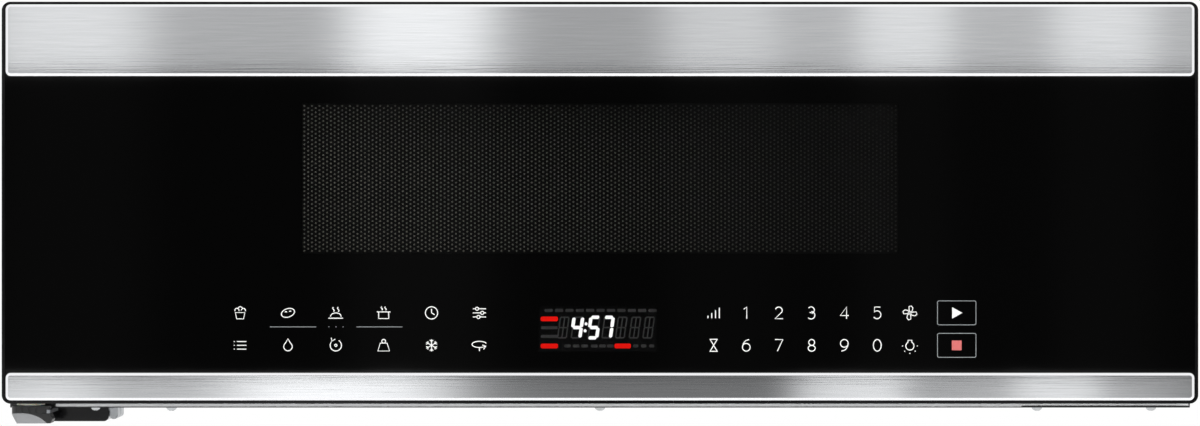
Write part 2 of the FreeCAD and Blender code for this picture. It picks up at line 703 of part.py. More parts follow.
def roller_line(angle, start, end):
    """Two points on a roller's axle, at these distances from the turntable axis."""
    c = math.cos(math.radians(angle))
    s = math.sin(math.radians(angle))
    return [(r * c, TRAY_Y + r * s, ROLLER_Z) for r in (start, end)]


def roller_ring():
    """Ring with three axles that carry the rollers."""
    low = ROLLER_Z - 4
    high = ROLLER_Z + 4
    ring = rod(88, (0, TRAY_Y, low), (0, TRAY_Y, high)).cut(
        rod(84, (0, TRAY_Y, low - 5), (0, TRAY_Y, high + 5))
    )
    pieces = [ring]
    for angle in roller_angles():
        pieces.append(rod(5, *roller_line(angle, 86, ROLLER_TRACK - 4.5)))
        pieces.append(rod(2.5, *roller_line(angle, 86, ROLLER_TRACK + 6.5)))
        pieces.append(rod(4, *roller_line(angle, ROLLER_TRACK + 4.5, ROLLER_TRACK + 6.5)))
    return joined(pieces)


def roller(index):
    """Small wheel between the oven floor and the tray."""
    angle = roller_angles()[index]
    wheel = rod(ROLLER_RADIUS, *roller_line(angle, ROLLER_TRACK - 4, ROLLER_TRACK + 4))
    return wheel.cut(rod(2.5 + RUN, *roller_line(angle, ROLLER_TRACK - 9, ROLLER_TRACK + 9)))


def roller_1():
    return roller(0)


def roller_2():
    return roller(1)


def roller_3():
    return roller(2)


# ---- inside the case ----------------------------------------------------------------------------
def cavity_lamp():
    """Oven lamp and holder on the left wall."""
    x0 = -CAVITY_X - SHEET - SLIP
    holder = panel((x0 - 3, x0), (-182, -132), (44, 90), X_AXIS, 4)
    cup = rod(16, (x0 - 26, -156, 67), (x0 - 2, -156, 67))
    cup = cup.cut(rod(14, (x0 - 24, -156, 67), (x0 + 5, -156, 67)))
    bulb = rod(6, (x0 - 25, -156, 67), (x0 - 8, -156, 67))
    holder = holder.cut(rod(14, (x0 - 24, -156, 67), (x0 + 5, -156, 67)))
    return joined([holder, cup, bulb])


def power_board():
    """Relay and supply board on the left of the oven."""
    x0 = -CAVITY_X - 24
    pieces = [
        block((x0 - 1.6, x0), (-400, -250), (-60, 60)),
        block((x0 - 26, x0 - 1.6), (-390, -350), (-50, -14)),
        block((x0 - 20, x0 - 1.6), (-330, -308), (-50, -28)),
        block((x0 - 20, x0 - 1.6), (-300, -278), (-50, -28)),
        rod(9, (x0 - 26, -370, 30), (x0 - 1.6, -370, 30)),
        rod(6, (x0 - 20, -335, 34), (x0 - 1.6, -335, 34)),
    ]
    for y in (-394, -256):
        for z in (-54, 54):
            pieces.append(rod(3, (x0 - 1, y, z), (-CAVITY_X - SHEET - SLIP, y, z)))
    return joined(pieces)


def latch_board():
    """Moulded carrier behind the front plate: windows for the hooks and the ledges that catch them."""
    y0 = PLATE + SHEET + SLIP
    x = (LATCH_X - 14, LATCH_X + 20)
    pieces = [
        block(x, (y0, y0 + 2), (-84, 84)),
        block((x[1] - 2, x[1]), (y0, -378), (-84, 84)),
        block(x, (y0, -378), (-84, -82)),
        block(x, (y0, -378), (82, 84)),
        block((LATCH_X - 12, x[1]), (y0, -378), (-2, 2)),
    ]
    windows = []
    for z in HOOK_HEIGHTS:
        windows.append(block((LATCH_X - 7, LATCH_X + 9), (y0 - 5, y0 + 5), (z - 9, z + 10)))
        pieces.append(block((LATCH_X - 7, x[1] - 1), (y0 + 1, y0 + 9), (z - 13, z - 9)))
    return joined(pieces).cut(windows)


def switch_places():
    """Y of the switch face and the height of each plunger."""
    return -393.0, [z + 1 for z in HOOK_HEIGHTS]


def interlock_switches():
    """Door switches behind the hooks."""
    face, heights = switch_places()
    switches = []
    for z in heights:
        case = panel((LATCH_X - 6, LATCH_X + 5), (face, face + 13), (z - 12, z + 14), X_AXIS, 1.5)
        well = block((LATCH_X - 2.1, LATCH_X + 2.1), (face - 2, face + 6), (z - 2.1, z + 2.1))
        tabs = [
            block((LATCH_X - 1, LATCH_X), (face + 12, face + 19), (z + dz, z + dz + 3))
            for dz in (-9, 8)
        ]
        switches.append(joined([case] + tabs).cut(well))
    return group(switches)


def plunger(index):
    """Small button that a hook presses as the door shuts."""
    face, heights = switch_places()
    z = heights[index]
    return block((LATCH_X - 1.8, LATCH_X + 1.8), (face - 2.6, face + 4.5), (z - 1.8, z + 1.8))


def plunger_lower():
    return plunger(0)


def plunger_upper():
    return plunger(1)


# ---- hinges -------------------------------------------------------------------------------------
LOWER_ARM = (-132.3, -130.1)
UPPER_ARM = (122.0, 125.0)
ARM_X = (-372.0, -350.0)
COVER_X = (-357.5, -317.0)
COVER_Y = (-407.0, -365.0)
COVER_BOTTOM = -139.2
CAP_X = (-374.4, -351.0)
CAP_BOTTOM = -138.6


def lower_hinge_bracket():
    """Plate below the base pan with an arm under the door and a turned-down ear beside the cover."""
    foot_y = (COVER_Y[0] + 2, COVER_Y[1] - 2)
    arm = panel(ARM_X, (HINGE_Y - 9, foot_y[1]), LOWER_ARM, Z_AXIS, 4)
    foot = block((ARM_X[0] + 5, COVER_X[1] + 5.6), foot_y, LOWER_ARM)
    ear = panel((COVER_X[1] + 0.4, COVER_X[1] + 5.6), foot_y, (-137.9, LOWER_ARM[1]), Y_AXIS, 2.4)
    hole = rod(PIN_RADIUS + 0.02, (HINGE_X, HINGE_Y, -140), (HINGE_X, HINGE_Y, -120))
    return joined([arm, foot, ear]).cut(hole)


def upper_hinge_bracket():
    """Arm through the front plate, with its flange on the plate's back."""
    arm = block((HINGE_X - 7, HINGE_X + 7), (HINGE_Y, PLATE + 8), UPPER_ARM)
    eye = rod(9, (HINGE_X, HINGE_Y, UPPER_ARM[0]), (HINGE_X, HINGE_Y, UPPER_ARM[1]))
    flange_y = (PLATE + SHEET + SLIP, PLATE + SHEET + SLIP + 2)
    flange = block((HINGE_X - 9, HINGE_X + 40), flange_y, (80, UPPER_ARM[1]))
    hole = rod(PIN_RADIUS + 0.02, (HINGE_X, HINGE_Y, 100), (HINGE_X, HINGE_Y, 130))
    return joined([arm, eye, flange]).cut(hole)


def hinge_pins():
    """Upper and lower pins that the door turns on."""
    lower = rod(PIN_RADIUS, (HINGE_X, HINGE_Y, LOWER_ARM[0]), (HINGE_X, HINGE_Y, -108))
    upper = rod(PIN_RADIUS, (HINGE_X, HINGE_Y, 104), (HINGE_X, HINGE_Y, UPPER_ARM[1]))
    return group([lower, upper])


def pivot_cap():
    """Moulded cap round the lower pin: ribbed body above, slanted shoe below."""
    top = DOOR_BOTTOM - 1.9
    left, right = CAP_X
    waist = LOWER_ARM[0] - 0.2
    y = (HINGE_Y - 12, HINGE_Y + 12)
    body = panel(CAP_X, y, (waist, top), Z_AXIS, 6)
    shoe = panel((left, right + 2.6), y, (CAP_BOTTOM, waist), Z_AXIS, 6)
    left_slope = [(left - 9, waist), (left, waist), (left + 4.4, CAP_BOTTOM - 1), (left - 9, CAP_BOTTOM - 1)]
    right_slope = [
        (right + 9, waist),
        (right + 0.4, waist),
        (right + 2.6, CAP_BOTTOM + 2.6),
        (right + 1.4, CAP_BOTTOM - 0.1),
        (right + 9, CAP_BOTTOM - 1),
    ]
    cuts = [
        prism_y(left_slope, y[0] - 1, y[1] + 1),
        prism_y(right_slope, y[0] - 1, y[1] + 1),
        rod(PIN_RADIUS + 0.1, (HINGE_X, HINGE_Y, LOWER_ARM[0]), (HINGE_X, HINGE_Y, top + 5)),
        block(
            (ARM_X[0] - 0.2, right + 5), (HINGE_Y - 9.2, y[1] + 5), (LOWER_ARM[0] - 0.2, LOWER_ARM[1] + 0.2)
        ),
    ]
    for i in range(5):
        rib = left + 2.4 + i * 4.4
        cuts.append(block((rib, rib + 1.4), (y[0] - 1, y[0] + 0.8), (waist + 0.3, top - 0.8)))
    return joined([body, shoe]).cut(cuts)


def hinge_cable_cover():
    """Box below the base pan, behind its front screws, over the wires that cross the hinge."""
    outside = panel(COVER_X, COVER_Y, (COVER_BOTTOM, BOTTOM + 8), Y_AXIS, 3.3)
    above = block((COVER_X[0] - 5, COVER_X[1] + 5), (-DEPTH, 0), (BOTTOM - 0.1, BOTTOM + 10))
    hollow = block(
        (COVER_X[0] + 1.5, COVER_X[1] - 1.5), (COVER_Y[0] + 1.5, COVER_Y[1] - 1.5), (COVER_BOTTOM + 1.5, 0)
    )
    slot_z = (LOWER_ARM[0] - 0.2, 0)
    arm_slot = block((COVER_X[0] - 5, ARM_X[1] + 0.3), (COVER_Y[0] - 5, COVER_Y[1] - 1.5), slot_z)
    foot_slot = block((COVER_X[0] + 5, COVER_X[1] + 5), (COVER_Y[0] + 1.8, COVER_Y[1] - 1.8), slot_z)
    return outside.cut([above, hollow, arm_slot, foot_slot])


# ---- door ---------------------------------------------------------------------------------------
SHELF = FRONT + 6.5  # back of the door's front shelf
REAR_LIP = DOOR_BACK - 2.0
REAR_OPENING_X = (-352.0, 348.0)
REAR_OPENING_Z = (-114.0, 117.0)
POCKET_Y = (-447.0, -423.0)
POCKET_Z = (-45.0, 65.0)
NOTCH_FLOOR = 119.0
NOTCH_RIGHT = -345.0
BUSH_RADIUS = 7.0


def round_upright(body, x, y, radius):
    """Rounds the upright edge at this X and Y."""
    edges = []
    for edge in straight_edges(body, Z_AXIS):
        place = edge.Vertexes[0]
        if abs(place.X - x) < 1e-6 and abs(place.Y - y) < 1e-6:
            edges.append(edge)
    return body.makeFillet(radius, edges)


def door_surround():
    """Moulded door body: outer walls, front shelf, rear lip, hinge bosses and pockets."""
    x = (-SIDE, SIDE)
    outline = panel(x, (FRONT + 0.6, DOOR_BACK), (DOOR_BOTTOM, DOOR_TOP), Y_AXIS, DOOR_CORNER)
    plan = block(x, (FRONT + 0.6, DOOR_BACK), (DOOR_BOTTOM - 1, DOOR_TOP + 1))
    plan = round_upright(plan, x[0], DOOR_BACK, HEEL_RADIUS)
    plan = round_upright(plan, x[1], DOOR_BACK, 4)
    body = outline.common(plan)

    inner_x = (-SIDE + DOOR_WALL, SIDE - DOOR_WALL)
    inner_z = (DOOR_BOTTOM + DOOR_WALL, DOOR_TOP - DOOR_WALL)
    hollow = block(inner_x, (SHELF, REAR_LIP), inner_z)
    hollow = round_upright(hollow, inner_x[0], REAR_LIP, HEEL_RADIUS - DOOR_WALL)
    rear = block(REAR_OPENING_X, (REAR_LIP - 1, DOOR_BACK + 5), REAR_OPENING_Z)
    glass_seat = block(inner_x, (-DEPTH - 10, FRONT + 4.3), (GLASS_BOTTOM, GLASS_TOP))
    trim_seats = [
        block(inner_x, (-DEPTH - 10, FRONT + 2.5), (GLASS_TOP - 1, DOOR_TOP - 1.2)),
        block(inner_x, (-DEPTH - 10, FRONT + 2.5), (DOOR_BOTTOM + 1.6, GLASS_BOTTOM + 1)),
    ]
    window = block((-192, 192), (-DEPTH, SHELF + 1), (-32, 66))
    board = block((-250, 254), (-DEPTH, SHELF + 1), (-104, -37))
    body = body.cut([hollow, rear, glass_seat, window, board] + trim_seats)

    boss = 9.5
    lower = rod(boss, (HINGE_X, HINGE_Y, DOOR_BOTTOM + 1), (HINGE_X, HINGE_Y, -104))
    upper = rod(boss, (HINGE_X, HINGE_Y, 98), (HINGE_X, HINGE_Y, NOTCH_FLOOR - 1))
    floor = block((-SIDE + 1, NOTCH_RIGHT + 2), (SHELF - 0.5, DOOR_BACK - 1), (NOTCH_FLOOR - 2, NOTCH_FLOOR))
    floor = floor.common(plan)
    side = block((NOTCH_RIGHT, NOTCH_RIGHT + 2), (SHELF - 0.5, DOOR_BACK - 1), (NOTCH_FLOOR - 2, DOOR_TOP - 1))
    notch = block((-SIDE - 5, NOTCH_RIGHT), (SHELF, DOOR_BACK + 5), (NOTCH_FLOOR, DOOR_TOP + 5))
    bores = [
        rod(BUSH_RADIUS, (HINGE_X, HINGE_Y, DOOR_BOTTOM - 5), (HINGE_X, HINGE_Y, -106)),
        rod(BUSH_RADIUS, (HINGE_X, HINGE_Y, 100), (HINGE_X, HINGE_Y, NOTCH_FLOOR + 5)),
    ]
    pocket = panel((350, SIDE + 5), POCKET_Y, POCKET_Z, X_AXIS, 5)
    return joined([body, lower, upper, floor, side]).cut([notch, pocket] + bores)


def door_glass():
    """Front glass between the two metal trims."""
    x = (-SIDE + DOOR_WALL + 0.2, SIDE - DOOR_WALL - 0.2)
    z = (GLASS_BOTTOM + 0.2, GLASS_TOP - 0.2)
    return panel(x, (FRONT + 1, FRONT + 1 + GLASS_THICK), z, Y_AXIS, 1)


def trim(z):
    """Metal strip with a bevel all round its front."""
    x = (-SIDE + DOOR_WALL + 0.1, SIDE - DOOR_WALL - 0.1)
    strip = panel(x, (FRONT, FRONT + TRIM_THICK), z, Y_AXIS, 3.5)
    return strip.makeChamfer(TRIM_BEVEL, front_edges(strip, FRONT))


def top_trim():
    return trim((GLASS_TOP + 0.3, DOOR_TOP - 1.3))


def bottom_trim():
    return trim((DOOR_BOTTOM + 1.7, GLASS_BOTTOM - 0.3))


def door_frame():
    """Steel pan behind the glass: main plate, choke channel with its comb, and hinge ears."""
    y0 = FRONT + 8.5
    plate = block((-350, 300), (y0, y0 + SHEET), (-98, 115))
    window = block((-200, 200), (y0 - 5, y0 + 5), (-34, 70))
    channel_x = (-CAVITY_X - 7 - CHOKE_WIDTH, CAVITY_X + 7 + CHOKE_WIDTH)
    channel_z = (CAVITY_LOW - 7 - CHOKE_WIDTH, CAVITY_HIGH + 12)
    back = DOOR_BACK - 2.2
    walls = block(channel_x, (y0, back), channel_z)
    inside = block(
        (channel_x[0] + SHEET, channel_x[1] - SHEET),
        (y0 - 5, back - SHEET),
        (channel_z[0] + SHEET, channel_z[1] - SHEET),
    )
    lip = 13.0
    rear_hole = block(
        (channel_x[0] + lip, channel_x[1] - lip), (y0 - 5, back + 5), (channel_z[0] + lip, channel_z[1] - lip)
    )
    teeth = []
    pitch = 26.0
    count = int((channel_x[1] - channel_x[0] - 2 * lip) / pitch)
    for i in range(count + 1):
        at = -count * pitch / 2 + i * pitch
        for z in (channel_z[0] + 4, channel_z[1] - 10):
            teeth.append(block((at - 1.5, at + 1.5), (back - 4, back + 3), (z, z + 10)))
    count = int((channel_z[1] - channel_z[0] - 2 * lip) / pitch)
    middle = (channel_z[0] + channel_z[1]) / 2
    for i in range(count + 1):
        at = middle - count * pitch / 2 + i * pitch
        for x in (channel_x[0] + 4, channel_x[1] - 14):
            teeth.append(block((x, x + 10), (back - 4, back + 3), (at - 1.5, at + 1.5)))
    ears = []
    for z in (-107.0, 105.5):
        ear = block((-374, -336), (y0, HINGE_Y + 13), (z, z + 1.5))
        ears.append(ear)
        ears.append(block((-348, -336), (y0, y0 + SHEET), (min(z, 100), max(z + 1.5, -90))))
    holes = [rod(9.7, (HINGE_X, HINGE_Y, -120), (HINGE_X, HINGE_Y, 120))]
    return joined([plate.cut(window), walls.cut([inside, rear_hole] + teeth)] + ears).cut(holes)


def door_screen():
    """Shield sheet behind the window. Its fine holes are too small and many for the solid."""
    y0 = FRONT + 8.5
    return panel((-206, 206), (y0 - 0.7, y0 - 0.1), (-40, 76), Y_AXIS, 4)


def inner_pane():
    """Clear pane on the oven side of the window."""
    return panel((-206, 206), (-423.9, -422.1), (-42, 78), Y_AXIS, 4)


def choke_cover():
    """Moulded cover on the door's back, with the window and the slots for the hooks."""
    x = (REAR_OPENING_X[0] + 0.3, REAR_OPENING_X[1] - 0.3)
    z = (REAR_OPENING_Z[0] + 0.3, REAR_OPENING_Z[1] - 0.3)
    cover = panel(x, (DOOR_BACK - 2.0, DOOR_BACK - 0.4), z, Y_AXIS, 3)
    window = panel((-196, 196), (-430, -410), (-34, 70), Y_AXIS, 8)
    slots = []
    for height in HOOK_HEIGHTS:
        slots.append(block((LATCH_X - 4, LATCH_X + 4), (-430, -410), (height - 10, height + 10)))
    return cover.cut([window] + slots)


def touch_board():
    """Touch key board bonded behind the lower glass, with the hole for the display."""
    board = panel((-248, 252), (FRONT + 4.4, FRONT + 5.8), (-103, -38), Y_AXIS, 2)
    parts = [board]
    for x in (-200, -150, 110, 170, 215):
        parts.append(block((x, x + 12), (FRONT + 5.8, FRONT + 7.6), (-80, -68)))
    return joined(parts).cut(block((-40.5, 37.5), (-DEPTH, -440), (-94.5, -62.5)))


def display_module():
    """Lit numeral display."""
    return block((-40, 37), (FRONT + 4.4, FRONT + 8.2), (-94, -63))


def door_bushes():
    """Flanged bearings in the door's hinge bosses."""
    bushes = []
    for start, end, flange in ((DOOR_BOTTOM, -106.1, -1.5), (NOTCH_FLOOR, 100.1, 1.5)):
        tube = rod(BUSH_RADIUS - 0.02, (HINGE_X, HINGE_Y, start), (HINGE_X, HINGE_Y, end))
        rim = rod(9, (HINGE_X, HINGE_Y, start), (HINGE_X, HINGE_Y, start + flange))
        bore = rod(PIN_RADIUS + RUN, (HINGE_X, HINGE_Y, -150), (HINGE_X, HINGE_Y, 150))
        bushes.append(joined([tube, rim]).cut(bore))
    return group(bushes)


def pull_pocket():
    """Finger cup let into the door's free edge."""
    gap = 0.1
    y = (POCKET_Y[0] + gap, POCKET_Y[1] - gap)
    z = (POCKET_Z[0] + gap, POCKET_Z[1] - gap)
    cup = panel((354, SIDE - 0.2), y, z, X_AXIS, 4.9)
    hollow = panel((355.6, SIDE + 5), (y[0] + 1.6, y[1] - 1.6), (z[0] + 1.6, z[1] - 1.6), X_AXIS, 3.3)
    return cup.cut(hollow)


def latch_hook():
    """Upright bar with two hooks; it rides up over the catch and drops behind it."""
    bar = block((LATCH_X - 3, LATCH_X + 3), (-441, -430), (-68, 68))
    pieces = [bar]
    tip = -396.0
    for z in HOOK_HEIGHTS:
        side_view = [
            (-432, z - 4.5),
            (tip - 8.5, z - 4.5),
            (tip - 8.5, z - 8.0),
            (tip, z - 3.5),
            (tip, z + 1.5),
            (-410, z + 4.5),
            (-432, z + 4.5),
        ]
        pieces.append(prism_x(side_view, LATCH_X - 2.5, LATCH_X + 2.5))
    return joined(pieces)


NODES = (
    outer_case,
    side_panels,
    back_panel,
    base_pan,
    front_plate,
    top_vent_grille,
    charcoal_filter,
    exhaust_spigot,
    damper_flap,
    cord_bushing,
    cabinet_bolt_nuts,
    base_screws,
    case_screws,
    lamp_lenses,
    lamp_boards,
    grease_filter_left,
    grease_filter_right,
    cavity_shell,
    waveguide_cover,
    waveguide,
    magnetron,
    transformer,
    hv_capacitor,
    fan_housing,
    fan_motor,
    fan_blade,
    blower_housing,
    blower_motor,
    blower_wheels,
    glass_tray,
    drive_coupler,
    turntable_motor,
    roller_ring,
    roller_1,
    roller_2,
    roller_3,
    cavity_lamp,
    power_board,
    latch_board,
    interlock_switches,
    plunger_lower,
    plunger_upper,
    lower_hinge_bracket,
    upper_hinge_bracket,
    hinge_pins,
    pivot_cap,
    hinge_cable_cover,
    door_surround,
    door_glass,
    top_trim,
    bottom_trim,
    door_frame,
    door_screen,
    inner_pane,
    choke_cover,
    touch_board,
    display_module,
    door_bushes,
    pull_pocket,
    latch_hook,
)

os.makedirs("parts", exist_ok=True)
for make in NODES:
    shape = make()
    name = make.__name__
    shape.exportStep(f"parts/{name}.step")
    print(name, "solids", len(shape.Solids), "valid", shape.isValid(), "cm3", round(shape.Volume / 1000, 2))
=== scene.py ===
"""Looks of an over the range microwave oven: its finishes, fine pieces and studio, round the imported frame."""

import json
import logging
import math
from dataclasses import dataclass
from enum import Enum
from functools import partial
from typing import Any, Callable, ClassVar, Iterable, Sequence

import bmesh
import bpy
from bpy.types import Material, NodeTree, Object
from mathutils import Matrix, Vector

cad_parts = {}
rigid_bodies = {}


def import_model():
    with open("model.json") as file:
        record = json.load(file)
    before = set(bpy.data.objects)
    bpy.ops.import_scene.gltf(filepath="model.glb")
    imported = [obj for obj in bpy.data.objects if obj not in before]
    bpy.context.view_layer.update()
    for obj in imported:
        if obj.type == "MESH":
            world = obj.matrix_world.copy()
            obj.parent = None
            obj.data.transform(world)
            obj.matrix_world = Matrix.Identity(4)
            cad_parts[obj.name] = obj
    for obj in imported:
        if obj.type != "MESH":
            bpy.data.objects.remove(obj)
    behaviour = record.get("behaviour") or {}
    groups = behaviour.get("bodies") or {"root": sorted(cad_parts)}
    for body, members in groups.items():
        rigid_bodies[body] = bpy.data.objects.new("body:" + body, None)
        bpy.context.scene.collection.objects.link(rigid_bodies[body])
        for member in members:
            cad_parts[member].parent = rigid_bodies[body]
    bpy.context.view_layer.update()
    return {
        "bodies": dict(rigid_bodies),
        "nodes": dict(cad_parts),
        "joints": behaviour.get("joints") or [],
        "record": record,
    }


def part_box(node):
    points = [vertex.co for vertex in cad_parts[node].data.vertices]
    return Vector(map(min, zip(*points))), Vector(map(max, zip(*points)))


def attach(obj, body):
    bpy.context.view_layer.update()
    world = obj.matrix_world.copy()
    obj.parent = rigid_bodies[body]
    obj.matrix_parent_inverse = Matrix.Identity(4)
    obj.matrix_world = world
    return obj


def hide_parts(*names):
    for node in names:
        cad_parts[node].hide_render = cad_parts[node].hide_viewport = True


MM = 0.001
WELD = 0.01 * MM
NIL = 1e-6
LOG = logging.getLogger("microwave")
Point = tuple[float, float]
Triple = tuple[float, float, float]
Line = Sequence[Point]
Adder = Callable[..., Any]


# ---- small tools --------------------------------------------------------------------------------
def linear(colour: str) -> tuple[float, float, float, float]:
    """Turn an sRGB hex colour into linear values.

    Args:
        colour: "#RRGGBB".

    Returns:
        Red, green, blue and an alpha of 1.
    """
    parts = [int(colour[i : i + 2], 16) / 255 for i in (1, 3, 5)]
    parts = [c / 12.92 if c <= 0.04045 else ((c + 0.055) / 1.055) ** 2.4 for c in parts]
    return (*parts, 1.0)


def add_node(tree: NodeTree, kind: str, inputs: dict | None = None, **settings: Any) -> Any:
    """Add a node with its settings, input values and links.

    Args:
        tree: The node tree.
        kind: The node's type name.
        inputs: Inputs by name or number: a value, an output socket to link from, or a list of sockets.
        settings: Properties of the node.

    Returns:
        The new node's outputs.
    """
    node = tree.nodes.new(kind)
    for name, value in settings.items():
        setattr(node, name, value)
    for key, value in (inputs or {}).items():
        for source in value if isinstance(value, list) else [value]:
            if isinstance(source, bpy.types.NodeSocket):
                tree.links.new(source, node.inputs[key])
            else:
                node.inputs[key].default_value = source
    return node.outputs


def linked(name: str, data: Any) -> Object:
    """Put an object at the origin of the scene, made from its data."""
    made = bpy.data.objects.new(name, data)
    bpy.context.scene.collection.objects.link(made)
    return made


def mesh_object(name: str, verts: Sequence, faces: Sequence = ()) -> Object:
    """Make an object at the origin from points in metres and faces.

    Args:
        name: The object's name.
        verts: Points.
        faces: Lists of point numbers.

    Returns:
        The linked object.
    """
    mesh = bpy.data.meshes.new(name)
    mesh.from_pydata([tuple(v) for v in verts], [], [tuple(f) for f in faces])
    mesh.update()
    return linked(name, mesh)


def edited(name: str, mesh: bmesh.types.BMesh) -> Object:
    """Turn an edited mesh into an object at the origin, and free it."""
    made = mesh_object(name, [])
    mesh.to_mesh(made.data)
    mesh.free()
    return made


def as_mesh(source: Object, name: str, place: Matrix | None = None) -> Object:
    """Turn an object with modifiers, or a curve, into a plain mesh piece and remove the source.

    Args:
        source: The object to convert.
        name: The new piece's name.
        place: Where its mesh goes, in metres.

    Returns:
        The new piece, at the origin.
    """
    bpy.context.view_layer.update()
    graph = bpy.context.evaluated_depsgraph_get()
    mesh = bpy.data.meshes.new_from_object(source.evaluated_get(graph), depsgraph=graph)
    if place is not None:
        mesh.transform(place)
    bpy.data.objects.remove(source)
    mesh.name = name
    return linked(name, mesh)


def box_mm(node: str) -> tuple[Vector, Vector]:
    """Lowest and highest corner of a node of the frame, in mm."""
    lowest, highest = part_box(node)
    return lowest / MM, highest / MM


def lathe(profile: Line, steps: int) -> tuple[list[Vector], list[list[int]]]:
    """Turn a closed (radius, z) profile round Z.

    Args:
        profile: Outline in mm whose first and last points lie on the axis.
        steps: Points round the circle.

    Returns:
        Points in metres and faces.
    """
    inner = profile[1:-1]
    verts = [Vector((0, 0, profile[0][1])) * MM, Vector((0, 0, profile[-1][1])) * MM]
    for radius, z in inner:
        for i in range(steps):
            turn = math.tau * i / steps
            verts.append(Vector((radius * math.cos(turn), radius * math.sin(turn), z)) * MM)
    faces = []
    last = 2 + (len(inner) - 1) * steps
    for i in range(steps):
        j = (i + 1) % steps
        faces.append([0, 2 + j, 2 + i])
        faces.append([1, last + i, last + j])
        for low in range(2, last, steps):
            faces.append([low + i, low + j, low + steps + j, low + steps + i])
    return verts, faces


# ---- finishes -----------------------------------------------------------------------------------
class Grain(Enum):
    """How the fine pattern of a surface is drawn."""

    CLOUD = "ShaderNodeTexNoise"
    CELLS = "ShaderNodeTexVoronoi"
    LINES = "ShaderNodeTexWave"


@dataclass(frozen=True)
class Surface:
    """What all materials share: a name, and a tree that ends in one shader."""

    name: str

    def shader(self, add: Adder) -> Any:
        """Wire the shader with a function that adds a node, and return its output socket."""
        raise NotImplementedError

    def build(self) -> Material:
        """Make the material."""
        material = bpy.data.materials.new(self.name)
        material.use_nodes = True
        material.node_tree.nodes.clear()
        add = partial(add_node, material.node_tree)
        add("ShaderNodeOutputMaterial", {"Surface": self.shader(add)})
        return material


@dataclass(frozen=True)
class Finish(Surface):
    """An opaque surface: two close colours in broad patches, and a fine grain in roughness and relief."""

    colour: str
    shade: str
    roughness: float
    swing: float = 0.04
    metallic: float = 0.0
    grain: Grain = Grain.CLOUD
    grain_mm: Triple = (1.0, 1.0, 1.0)
    relief_mm: float = 0.01
    patch_mm: Triple = (70.0, 70.0, 70.0)
    patches: Grain = Grain.CLOUD
    specular: float = 0.5
    subsurface: float = 0.0

    def pattern(self, add: Adder, grain: Grain, size_mm: Triple) -> Any:
        """Draw a pattern whose features have a real size.

        Args:
            add: Adds a node.
            grain: The kind of pattern.
            size_mm: Feature size along X, Y and Z.

        Returns:
            The pattern's value socket.
        """
        place = add("ShaderNodeTexCoord")["Object"]
        scale = tuple(1 / (size * MM) for size in size_mm)
        place = add("ShaderNodeMapping", {"Vector": place, "Scale": scale})[0]
        drawn = add(grain.value, {"Vector": place, "Scale": 1.0})
        if grain is Grain.CELLS:
            drawn = add("ShaderNodeSeparateColor", {"Color": drawn["Color"]})
        return drawn["Fac" if grain is Grain.LINES else 0]

    def tone(self, add: Adder, colour: Any) -> Any:
        """Change the patched colour where a kind of finish needs it; here it stays."""
        return colour

    def shader(self, add: Adder) -> Any:
        """Wire the patches, the grain and the relief."""
        broad = self.pattern(add, self.patches, self.patch_mm)
        fine = self.pattern(add, self.grain, self.grain_mm)
        colours = {0: broad, 6: linear(self.colour), 7: linear(self.shade)}
        colour = add("ShaderNodeMix", colours, data_type="RGBA")[2]
        span = {"To Min": self.roughness - self.swing, "To Max": self.roughness + self.swing}
        rough = add("ShaderNodeMapRange", {"Value": fine, **span})[0]
        relief = add("ShaderNodeBump", {"Strength": 1.0, "Distance": self.relief_mm * MM, "Height": fine})[0]
        inputs = {
            "Base Color": self.tone(add, colour),
            "Roughness": rough,
            "Normal": relief,
            "Metallic": self.metallic,
            "Specular IOR Level": self.specular,
            "Subsurface Weight": self.subsurface,
            "Subsurface Scale": 2 * MM,
        }
        return add("ShaderNodeBsdfPrincipled", inputs)[0]


@dataclass(frozen=True)
class ZonedFinish(Finish):
    """Finish with another colour inside zones.

    Each zone has a middle, half sizes (mm) and a power: 2 makes it an ellipsoid, 16 nearly a box.
    """

    zone_colour: str = "#000000"
    zones: tuple[tuple[Triple, Triple, float], ...] = ()

    def tone(self, add: Adder, colour: Any) -> Any:
        """Lay the zones' colour over the patches."""
        place = add("ShaderNodeTexCoord")["Object"]
        axes = add("ShaderNodeSeparateXYZ", {0: place})
        inside: Any = 0.0
        for middle, half, power in self.zones:
            far: Any = 0.0
            for value, centre, reach in zip(axes, middle, half):
                off = (("SUBTRACT", centre * MM), ("MULTIPLY", 1 / (reach * MM)), ("ABSOLUTE", 0.0))
                for operation, number in (*off, ("POWER", power), ("ADD", far)):
                    value = add("ShaderNodeMath", {0: value, 1: number}, operation=operation)[0]
                far = value
            within = add("ShaderNodeMath", {0: far, 1: 1.0}, operation="LESS_THAN")[0]
            inside = add("ShaderNodeMath", {0: within, 1: inside}, operation="MAXIMUM")[0]
        return add("ShaderNodeMix", {0: inside, 6: colour, 7: linear(self.zone_colour)}, data_type="RGBA")[2]


